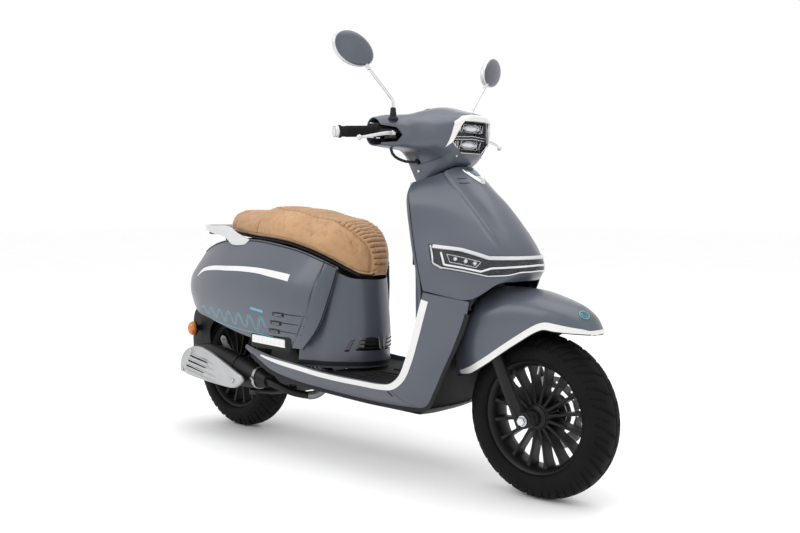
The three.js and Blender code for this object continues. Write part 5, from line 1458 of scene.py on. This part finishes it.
def build_rim(name, body, axle, hub_left, hub_right):
    axle = np.array(axle, float)
    edge = [(47, 164), (48.5, 170), (46, 172.5), (43.5, 170), (42, 162), (38, 158), (26, 151.5), (10, 148.5)]
    profile = [(y, r) for y, r in edge] + [(-y, r) for y, r in edge[::-1]]
    lining = [(-12, 145), (-27, 146.5), (-40, 153.5), (-45, 160)]
    profile += [(y, r) for y, r in lining[::-1]] + [(-y, r) for y, r in lining]
    barrel = lathe([(a, min(r, 164.4)) for a, r in profile], axle, (0, 1, 0), 144, ring=True)
    hub = lathe([
        (-hub_right, 9), (-hub_right, 19), (-hub_right + 3, 22), (-44, 24), (-42, 33), (-39, 36), (-34, 36),
        (-32, 39), (30, 39), (34, 36), (38, 30), (hub_left - 2, 24), (hub_left, 20), (hub_left, 9),
    ], axle, (0, 1, 0), 64, ring=True)
    spokes = []
    for k in range(SPOKES):
        radial, around = clock_hand((k + 0.5) / SPOKES * 2 * math.pi)
        sections = []
        for r, w, low, high in SPOKE_STATIONS:
            half = ((-0.5, low + 2), (-0.32, low), (0.32, low), (0.5, low + 2))
            corners = half + tuple((-c, low + high - y) for c, y in half)
            sections.append([axle + radial * r + around * w * c + np.array((0, y, 0)) for c, y in corners])
        spokes.append(rings(sections))
    valve = rod(axle + (0, -18, 148), axle + (0, -27, 122), 3.2, 12)
    make(f"{name}_wheel_rim", [barrel, hub] + spokes, BLACK_METAL, body, bevel=0.7, replaces=[f"{name}_rim"])
    make(f"{name}_valve", [valve], STEEL, body, bevel=0.5)


def build_disc():
    axle = np.array(FRONT_AXLE)

    def rim(r, y):
        return [axle + (0, y, 0) + clock_hand(a)[0] * (r + 1.2 * math.cos(a * 10)) for a in full_turn(180)]

    blade = rings([rim(106.5, 57.3), rim(106.5, 60.7), rim(72, 60.7), rim(72, 57.3)], closed=True)
    carrier = lathe([(55.7, 15), (55.7, 44), (57.4, 46), (58, 60), (60.4, 60), (60.4, 42), (60.6, 15)], axle,
                    (0, 1, 0), 72, ring=True)
    arms = []
    for angle in full_turn(5):
        out, around = clock_hand(angle)
        arms.append(rings([[axle + out * r + around * w + (0, y, 0)
                            for w, y in ((-h, 57.8), (h, 57.8), (h, 60.3), (-h, 60.3))]
                           for r, h in ((50, 11), (66, 6), (78, 10))]))
    disc = make("brake_disc", [blade, carrier] + arms, STEEL, "front_wheel", bevel=0.4,
                replaces=["front_disc"])
    holes = []
    for k, angle in enumerate(full_turn(30)):
        at = axle + clock_hand(angle)[0] * (80, 89, 98)[k % 3] + (0, 55, 0)
        holes.append(rod(at, at + (0, 8, 0), 3.2, 12))
    carve(disc, holes)
    bolts = []
    for angle in full_turn(5) + math.pi / 5:
        bolts.append(bolt(axle + clock_hand(angle)[0] * 34 + (0, 59.4, 0), (0, 1, 0), 4))
    make("disc_bolts", bolts, CAST, "front_wheel")
    nut = [lathe([(0, 13), (9, 13), (11, 11), (11, 5)], axle + (0, -102, 0), (0, -1, 0), 6),
           lathe([(0, 15.5), (2.4, 15.5)], axle + (0, -100.6, 0), (0, -1, 0), 40)]
    make("axle_nut", nut, CHROME, "fork_lowers", bevel=0.8)


# ---- seat ------------------------------------------------------------------------------------------
SEAT_STATIONS = [
    [58, 636, 668, 16], [50, 614, 704, 34], [34, 606, 738, 54], [8, 612, 763, 82],
    [-26, 634, 779, 112], [-62, 656, 788, 136], [-104, 674, 793, 148], [-150, 688, 799, 151],
    [-200, 699, 809, 151], [-256, 711, 822, 150], [-350, 721, 830, 145], [-442, 727, 830, 137],
    [-510, 732, 827, 125], [-584, 738, 828, 111], [-634, 746, 826, 95], [-652, 756, 814, 76],
]


def seat_loft(inset):
    """The seat's plain form, shrunk by an inset so that the foam can swell back."""
    side = [(0.86, 0), (0.97, 0.1), (1, 0.3), (0.99, 0.52), (0.93, 0.76), (0.8, 0.9), (0.56, 0.965),
            (0.28, 0.99)]
    sections = []
    for x, low, high, half in spline(SEAT_STATIONS, 61):
        half, low, high = half - inset, low + 1, high - inset * 1.15
        right = [(x, -y * half, low + z * (high - low)) for y, z in side]
        left = [(x, y * half, low + z * (high - low)) for y, z in side[::-1]]
        sections.append(spline(right + [(x, 0, high)] + left, 60))
    return rings(sections)


FOAM_CELL = 5.5  # size of the foam's mesh cells
FOAM_PRESSURE = 4
FOAM_RISE = 9  # how far the foam may swell
FOAM_STEPS = 20


def swell(piece):
    """Blows the foam up by cloth simulation, held at its base and capped."""
    remesh = piece.modifiers.new("remesh", "REMESH")
    remesh.mode = "VOXEL"
    remesh.voxel_size = FOAM_CELL * MM
    apply_modifiers(piece)
    rest = np.array([v.co for v in piece.data.vertices])
    normals = np.array([v.normal for v in piece.data.vertices])
    pins = piece.vertex_groups.new(name="base")
    pins.add([int(i) for i in np.flatnonzero(normals[:, 2] < -0.6)], 1.0, "ADD")
    cloth = piece.modifiers.new("cloth", "CLOTH")
    cloth.settings.use_pressure = True
    cloth.settings.uniform_pressure_force = FOAM_PRESSURE
    cloth.settings.effector_weights.gravity = 0
    cloth.settings.vertex_group_mass = "base"
    cloth.settings.quality = 5
    for step in range(1, FOAM_STEPS + 1):
        bpy.context.scene.frame_set(step)
    apply_modifiers(piece)
    bpy.context.scene.frame_set(1)
    moved = np.array([v.co for v in piece.data.vertices]) - rest
    far = np.linalg.norm(moved, axis=1, keepdims=True)
    rest = rest + moved * np.minimum(1, FOAM_RISE * MM / np.maximum(far, 1e-9))
    piece.vertex_groups.clear()
    piece.data.vertices.foreach_set("co", rest.ravel())
    piece.data.update()


def apply_modifiers(piece):
    bpy.context.view_layer.update()
    graph = bpy.context.evaluated_depsgraph_get()
    mesh = bpy.data.meshes.new_from_object(piece.evaluated_get(graph))
    piece.modifiers.clear()
    piece.data = mesh


SEAT_SPINE = [(-651, 800), (-634, 816), (-584, 826), (-510, 826), (-442, 829), (-350, 830), (-256, 822),
              (-200, 809), (-150, 799), (-104, 793), (-62, 788), (-26, 779), (8, 763), (34, 738), (50, 704),
              (57, 668), (56, 640)]
REAR_SEAM = -412  # where the rider's seat ends
RIB_PITCH = 20.5
HEM_RISE = 13


def insert_width(x):
    """Half width of the ribbed insert at a place along the seat."""
    return np.interp(x, [-440, -330, -160, -60, 0, 40, 60], [66, 84, 82, 74, 62, 40, 24])


def sew(piece):
    """Presses the sewn channels, the insert's seams and the rider's rear seam into the cover."""
    spine = np.array([(x, z) for x, _, z in spline([(x, 0, z) for x, z in SEAT_SPINE], 400)])
    run = run_so_far(spine)
    mesh = piece.data
    co = np.array([v.co for v in mesh.vertices]) / MM
    n = np.array([v.normal for v in mesh.vertices])
    flat = co[:, [0, 2]]
    near = np.array([np.argmin(((spine - p) ** 2).sum(axis=1)) for p in flat])
    s, gap = run[near], np.linalg.norm(spine[near] - flat, axis=1)
    start = run[np.argmin(np.abs(spine[:, 0] - REAR_SEAM))]
    x, y = co[:, 0], np.abs(co[:, 1])
    upper = smooth_step((n[:, 2] + n[:, 0] * 0.9 - 0.1) / 0.3)
    width = insert_width(x)
    within = smooth_step((width - 2 - y) / 4) * smooth_step((s - start - 14) / 6) * upper * (gap < 60)
    rib = ((s - start) / RIB_PITCH) % 1.0
    channel = np.exp(-(((rib - 0.5) / 0.085) ** 2)) * 3.4 + 1.4 * np.cos((rib - 0.5) * 2 * math.pi)
    crown = upper * (gap < 60)
    seam = np.exp(-(((y - width) / 3.0) ** 2)) * smooth_step((s - start) / 8) * crown * 3.2
    seam += np.exp(-(((y - width * 0.42) / 2.0) ** 2)) * smooth_step((x + 70) / 30) * crown * 1.6
    rear = x - REAR_SEAM + 0.30 * (830 - co[:, 2])
    across = np.exp(-((rear / 3.4) ** 2)) * smooth_step((n[:, 2] + 0.75) / 0.3) * 5.0
    bolster = np.exp(-(((rear - 26) / 22) ** 2)) * smooth_step((co[:, 2] - 770) / 30) * 4.5
    step = smooth_step(-rear / 5) * smooth_step((co[:, 2] - 765) / 40) * 4.5
    hem = np.exp(-(((co[:, 2] - hem_height(x)) / 2.4) ** 2)) * (np.abs(n[:, 2]) < 0.75) * 2.6
    out = co - n * (channel * within + seam + across + step + hem - bolster)[:, None]
    mesh.vertices.foreach_set("co", (out * MM).ravel())
    mesh.update()


def hem_height(x):
    station = np.array(SEAT_STATIONS[::-1], float)
    return np.interp(x, station[:, 0], station[:, 1]) + HEM_RISE


def build_seat():
    seat = make("seat_cover", [seat_loft(8)], LEATHER, "seat", replaces=["seat_cushion"])
    swell(seat)
    smooth = seat.modifiers.new("subdivide", "SUBSURF")
    smooth.levels = smooth.render_levels = 1
    apply_modifiers(seat)
    sew(seat)
    seat.data.materials.clear()
    seat.data.materials.append(LEATHER)
    seat.data.polygons.foreach_set("use_smooth", [True] * len(seat.data.polygons))
    stitch_seat(seat)


def stitch_seat(seat):
    """Thread along the insert's seams, and piping round the base."""
    tree = BVHTree.FromObject(seat, bpy.context.evaluated_depsgraph_get())
    def on_seat(p, direction=(0, 0, -1)):
        p = Vector(p) * MM
        d = Vector(direction).normalized()
        q, n, _, _ = tree.ray_cast(p - d * 0.3, d)
        return (np.array(q) / MM, np.array(n)) if q is not None else (None, None)
    stitches = []
    for side in (-1, 1):
        for offset in (-4.6, 4.6):
            xs = np.arange(-404, 4, 5.2)
            for x in xs:
                y = side * (insert_width(x) + offset)
                ends = [on_seat((x + d, y, 760)) for d in (-1.5, 1.5)]
                if ends[0][0] is None or ends[1][0] is None:
                    continue
                (a, n), (b, _) = ends
                stitches.append(rings([[p + unit(np.cross(b - a, n)) * u + n * (w + 0.15) for u, w in
                                        ((-0.55, 0), (0, 0.55), (0.55, 0), (0, -0.4))] for p in (a, b)]))
    make("seat_stitches", stitches, THREAD, "seat", smooth=False)
    piping = []
    for side in (-1, 1):
        line = []
        for x in np.linspace(44, -636, 90):
            z = float(hem_height(x)) - HEM_RISE + 3
            q, n = on_seat((x, 0, z), (0, -side, 0))
            if q is not None:
                line.append(q)
        piping.append(sweep(line, circle(2.4, 10)))
    make("seat_piping", piping, BLACK, "seat", "leather")


# ---- engine, exhaust, rail and shock -------------------------------------------------------------------
EXHAUST_Y = -152


def oval(x, y, z, half_y, half_z, sides=48):
    return [(x, y + half_y * math.cos(a), z + half_z * math.sin(a)) for a in full_turn(sides)]


def exhaust_band(x, z, half_y, half_z, width):
    line = spline(oval(x, EXHAUST_Y, z, half_y, half_z, 24), 60, closed=True)
    return sweep(line, rounded_rect(3, width, 1), up=(1, 0, 0), closed=True)


def build_exhaust():
    stations = [(-792, 250, 30, 44), (-780, 252, 42, 58), (-700, 260, 46, 66), (-600, 257, 46, 64),
                (-500, 246, 43, 54), (-420, 236, 36, 42), (-352, 228, 20, 22)]
    sections = [oval(x, EXHAUST_Y, z, half_y, half_z) for x, z, half_y, half_z in spline(stations, 60)]
    pipe = spline([(-185, -14, 262), (-187, -20, 225), (-210, -58, 186),
                   (-260, -104, 190), (-310, -138, 212), (-365, -152, 228)], 70)
    end_ring = [oval(x, EXHAUST_Y, 250, 30 * k, 44 * k)
                for x, k in ((-790, 1.03), (-794, 1.05), (-797, 0.95), (-797, 0.6))]
    can = [rings(sections), rings(end_ring), sweep(pipe, circle(13, 28), up=(0, 1, 0))]
    make("silencer", can, BLACK_METAL, "engine_unit", bevel=0.6, replaces=["muffler"])
    spout = lathe([(0, 11), (-26, 11), (-28, 10), (-27, 8.4), (0, 8.4)], (-790, -150, 222), (0.94, 0, 0.3),
                  32, ring=True)
    make("silencer_clamp", [exhaust_band(-505, 246.6, 44.5, 56, 9)], BLACK_METAL, "engine_unit")
    flange = [lathe([(-3, 24), (3, 24), (3, 14), (-3, 14)], (-186, -15, 256), (0, 0.1, 1), 32, ring=True)]
    make("silencer_trims", [spout] + flange, BLACK_METAL, "engine_unit", bevel=0.4)
    header = sweep(pipe[6:34], circle(15, 28), up=(0, 1, 0))
    nuts = [bolt((-186 + 17 * side, -17, 254), (0, 0, -1), 6) for side in (-1, 1)]
    make("header_sleeve", [header] + nuts, CAST, "engine_unit", bevel=0.4)
    ears = rod((-398, -191, 236), (-398, -178, 240), 7, 6)
    make("exhaust_clamp", [exhaust_band(-398, 233.5, 33.5, 37.5, 12), ears], STEEL, "engine_unit", bevel=0.4)
    hanger = [(-676, 344), (-664, 356), (-646, 352), (-636, 330), (-618, 312), (-600, 300), (-604, 288),
              (-630, 292), (-654, 312), (-668, 326)]
    bolts = [bolt((x, -112, z), (0, -1, 0), 5.5) for x, z in ((-656, 342), (-616, 302))]
    make("silencer_hanger", [extrude(hanger, across_side, -112, -106)] + bolts, CAST, "engine_unit",
         bevel=1.0)
    build_heat_shield()


def build_heat_shield():
    outline = [(-780, 236), (-774, 268), (-752, 300), (-715, 318), (-668, 324), (-615, 316), (-560, 299),
               (-500, 277), (-446, 255), (-420, 244), (-414, 232), (-428, 216), (-455, 200), (-478, 196),
               (-540, 198), (-620, 203), (-700, 210), (-755, 219)]
    ring = spline(outline, 140, closed=True)
    centre = ring.mean(axis=0)
    def place(u, v, w):
        bulge = 1 - ((v - 260) / 100) ** 2 * 0.5 - ((u + 610) / 300) ** 2 * 0.3
        return u, -204 - 20 * bulge - w, v
    sections = [[place(*(centre + (p - centre) * k), w) for p in ring] for k, w in
                ((0.004, 0), (0.3, 0), (0.6, 0), (0.85, 0), (0.955, -0.4), (0.985, -2.0), (1.0, -6),
                 (1.0, -12), (0.985, -12), (0.97, -6), (0.94, -3.2), (0.6, -2.6), (0.3, -2.6), (0.004, -2.6))]
    shield = make("heat_shield", [rings(sections)], SHIELD_STEEL, "engine_unit", replaces=["muffler_shield"])
    slots, creases = [], []
    for k in range(3):
        x, z = -737 + 12 * k, 246 + 19 * k
        slot = [(x, z), (x + 108, z - 15), (x + 109, z - 9), (x + 1, z + 6)]
        slots.append(extrude(slot, across_side, -240, -190))
    carve(shield, slots)
    for k in range(4):
        x, z = -748 + 10 * k, 236 + 20 * k
        length = 190 - 14 * k
        line = [place(x + t * length, z - 0.17 * t * length, 1.1) for t in np.linspace(0, 1, 24)]
        creases.append(sweep(line, circle(2.0, 10), scale=lambda t: max(0.05, math.sin(math.pi * t)) ** 0.4))
    make("shield_creases", creases, SHIELD_STEEL, "engine_unit")
    fixings = ((-706, 304), (-762, 232), (-462, 226))
    bolts = [bolt(place(x, z, 0), (0, -1, 0), 7) for x, z in fixings]
    washer = [(-1, 11), (1.2, 11), (1.6, 10), (1.2, 9), (-1, 9)]
    washers = [lathe(washer, place(x, z, 0), (0, -1, 0), 36, ring=True) for x, z in fixings]
    make("shield_bolts", bolts + washers, STEEL, "engine_unit")
    spacers = [rod(place(x, z, -2), (x, -188, z), 6) for x, z in ((-706, 304), (-762, 240), (-462, 230))]
    make("shield_spacers", spacers, BLACK_METAL, "engine_unit")


# The grab rail's sections from front to tail: x, y, mid height, half height, lean outwards at its foot.
RAIL_STATIONS = [[-464, 138, 716, 2, 2], [-484, 138, 712, 12, 5], [-519, 138, 715, 19, 9],
                 [-547, 137, 721, 22, 10], [-588, 131, 739, 21, 8], [-630, 126, 747, 18, 6],
                 [-681, 120, 749, 15.5, 4], [-725, 111, 752, 12, 2], [-760, 100, 755, 9.5, 0],
                 [-790, 84, 757, 9, 0], [-815, 56, 757, 9, 0], [-824, 22, 757, 9, 0]]


def build_rail():
    right = [[x, -y, z, h, lean] for x, y, z, h, lean in RAIL_STATIONS[::-1]]
    rail = np.array(RAIL_STATIONS + right, float)
    fine = spline(rail[:, :3], 150)
    share, step = run_so_far(rail[:, :3]), run_so_far(fine)
    high, lean = (np.interp(step / step[-1], share / share[-1], rail[:, k]) for k in (3, 4))
    profile = rounded_rect(8, 2, 0.9)
    tangent = unit(np.gradient(fine, axis=0))
    sections = []
    for p, t, h, out in zip(fine, tangent, high, lean):
        away = unit(np.cross(t, (0, 0, 1)))
        rise = np.cross(away, t)
        corner = profile[:, :1] * away + profile[:, 1:] * rise * h
        foot = (1 - profile[:, 1:]) / 2 * np.array((0, math.copysign(out, p[1]), 0))
        sections.append(p + corner + foot)
    feet = []
    for side in (-1, 1):
        feet.append(rod((-556, side * 113, 694.2), (-556, side * 128, 722), 6.5, 24))
        feet.append(rod((-620, side * 112, 700), (-620, side * 122, 742), 6.5, 24))
    make("rail_band", [rings(sections)], SILVER, "chassis", bevel=1.2, replaces=["grab_rail"])
    make("rail_feet", feet, BLACK, "chassis", bevel=0.8)
    pad = sweep(spline([(-742, 88, 742), (-790, 68, 738), (-806, 40, 736), (-810, 0, 736),
                        (-806, -40, 736), (-790, -68, 738), (-742, -88, 742)], 60), rounded_rect(7, 15, 3))
    make("rail_inner", [pad], BLACK, "chassis", bevel=0.6)


def build_shock_spring():
    top, foot = np.array((-606, 120, 588.0)), np.array((-640, 120, 350.0))
    axis, u, v = basis(foot - top)
    length = float(np.linalg.norm(foot - top))
    angle = np.linspace(0, 16 * math.pi, 420)
    along = length * np.linspace(0.14, 0.87, 420)
    path = top + axis * along[:, None] + 24.5 * (np.cos(angle)[:, None] * u + np.sin(angle)[:, None] * v)
    spring = make("shock_spring", [sweep(path, circle(4.2, 12))], CHROME, "shock_upper")
    tuple(float(c) for c in axis)
    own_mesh(spring)


build_fender()
build_headset()
build_mirrors()
build_controls()
build_tyre("front", "front_wheel", FRONT_AXLE)
build_tyre("rear", "rear_wheel", REAR_AXLE)
build_rim("front", "front_wheel", FRONT_AXLE, 55, 62)
build_rim("rear", "rear_wheel", REAR_AXLE, 66, 50)
build_disc()
build_seat()
build_exhaust()
build_rail()
build_shock_spring()


# ---- stage ----------------------------------------------------------------------------------------
def build_stage():
    mesh = bpy.data.meshes.new("floor")
    size = 30
    corners = [(x * size, y * size, 0) for x, y in ((-1, -1), (1, -1), (1, 1), (-1, 1))]
    mesh.from_pydata(corners, [], [(0, 1, 2, 3)])
    floor = bpy.data.objects.new("floor", mesh)
    bpy.context.scene.collection.objects.link(floor)
    pale = finish_material("pale_floor", (0.985, 0.985, 0.985), 0.85, mottle=0.01, mottle_scale=2)
    mesh.materials.append(pale)
    world = bpy.data.worlds.new("studio")
    world.use_nodes = True
    world.node_tree.nodes["Background"].inputs["Color"].default_value = (1, 1, 1, 1)
    world.node_tree.nodes["Background"].inputs["Strength"].default_value = 1.0
    bpy.context.scene.world = world
    for name, place, size, power in (
        ("key", (-0.8, -3.6, 3.4), 3.0, 62),
        ("top", (0.6, 0.4, 4.2), 3.2, 56),
        ("front", (4.2, -0.4, 1.8), 2.4, 10),
        ("back", (-2.0, 3.4, 2.6), 2.5, 12),
    ):
        light = bpy.data.lights.new(name, "AREA")
        light.size = size
        light.energy = power
        lamp = bpy.data.objects.new(name, light)
        lamp.location = place
        aim = Vector((0, 0, 0.6)) - Vector(place)
        lamp.rotation_euler = aim.to_track_quat("-Z", "Y").to_euler()
        bpy.context.scene.collection.objects.link(lamp)
    bpy.context.scene.view_settings.view_transform = "Standard"


build_stage()
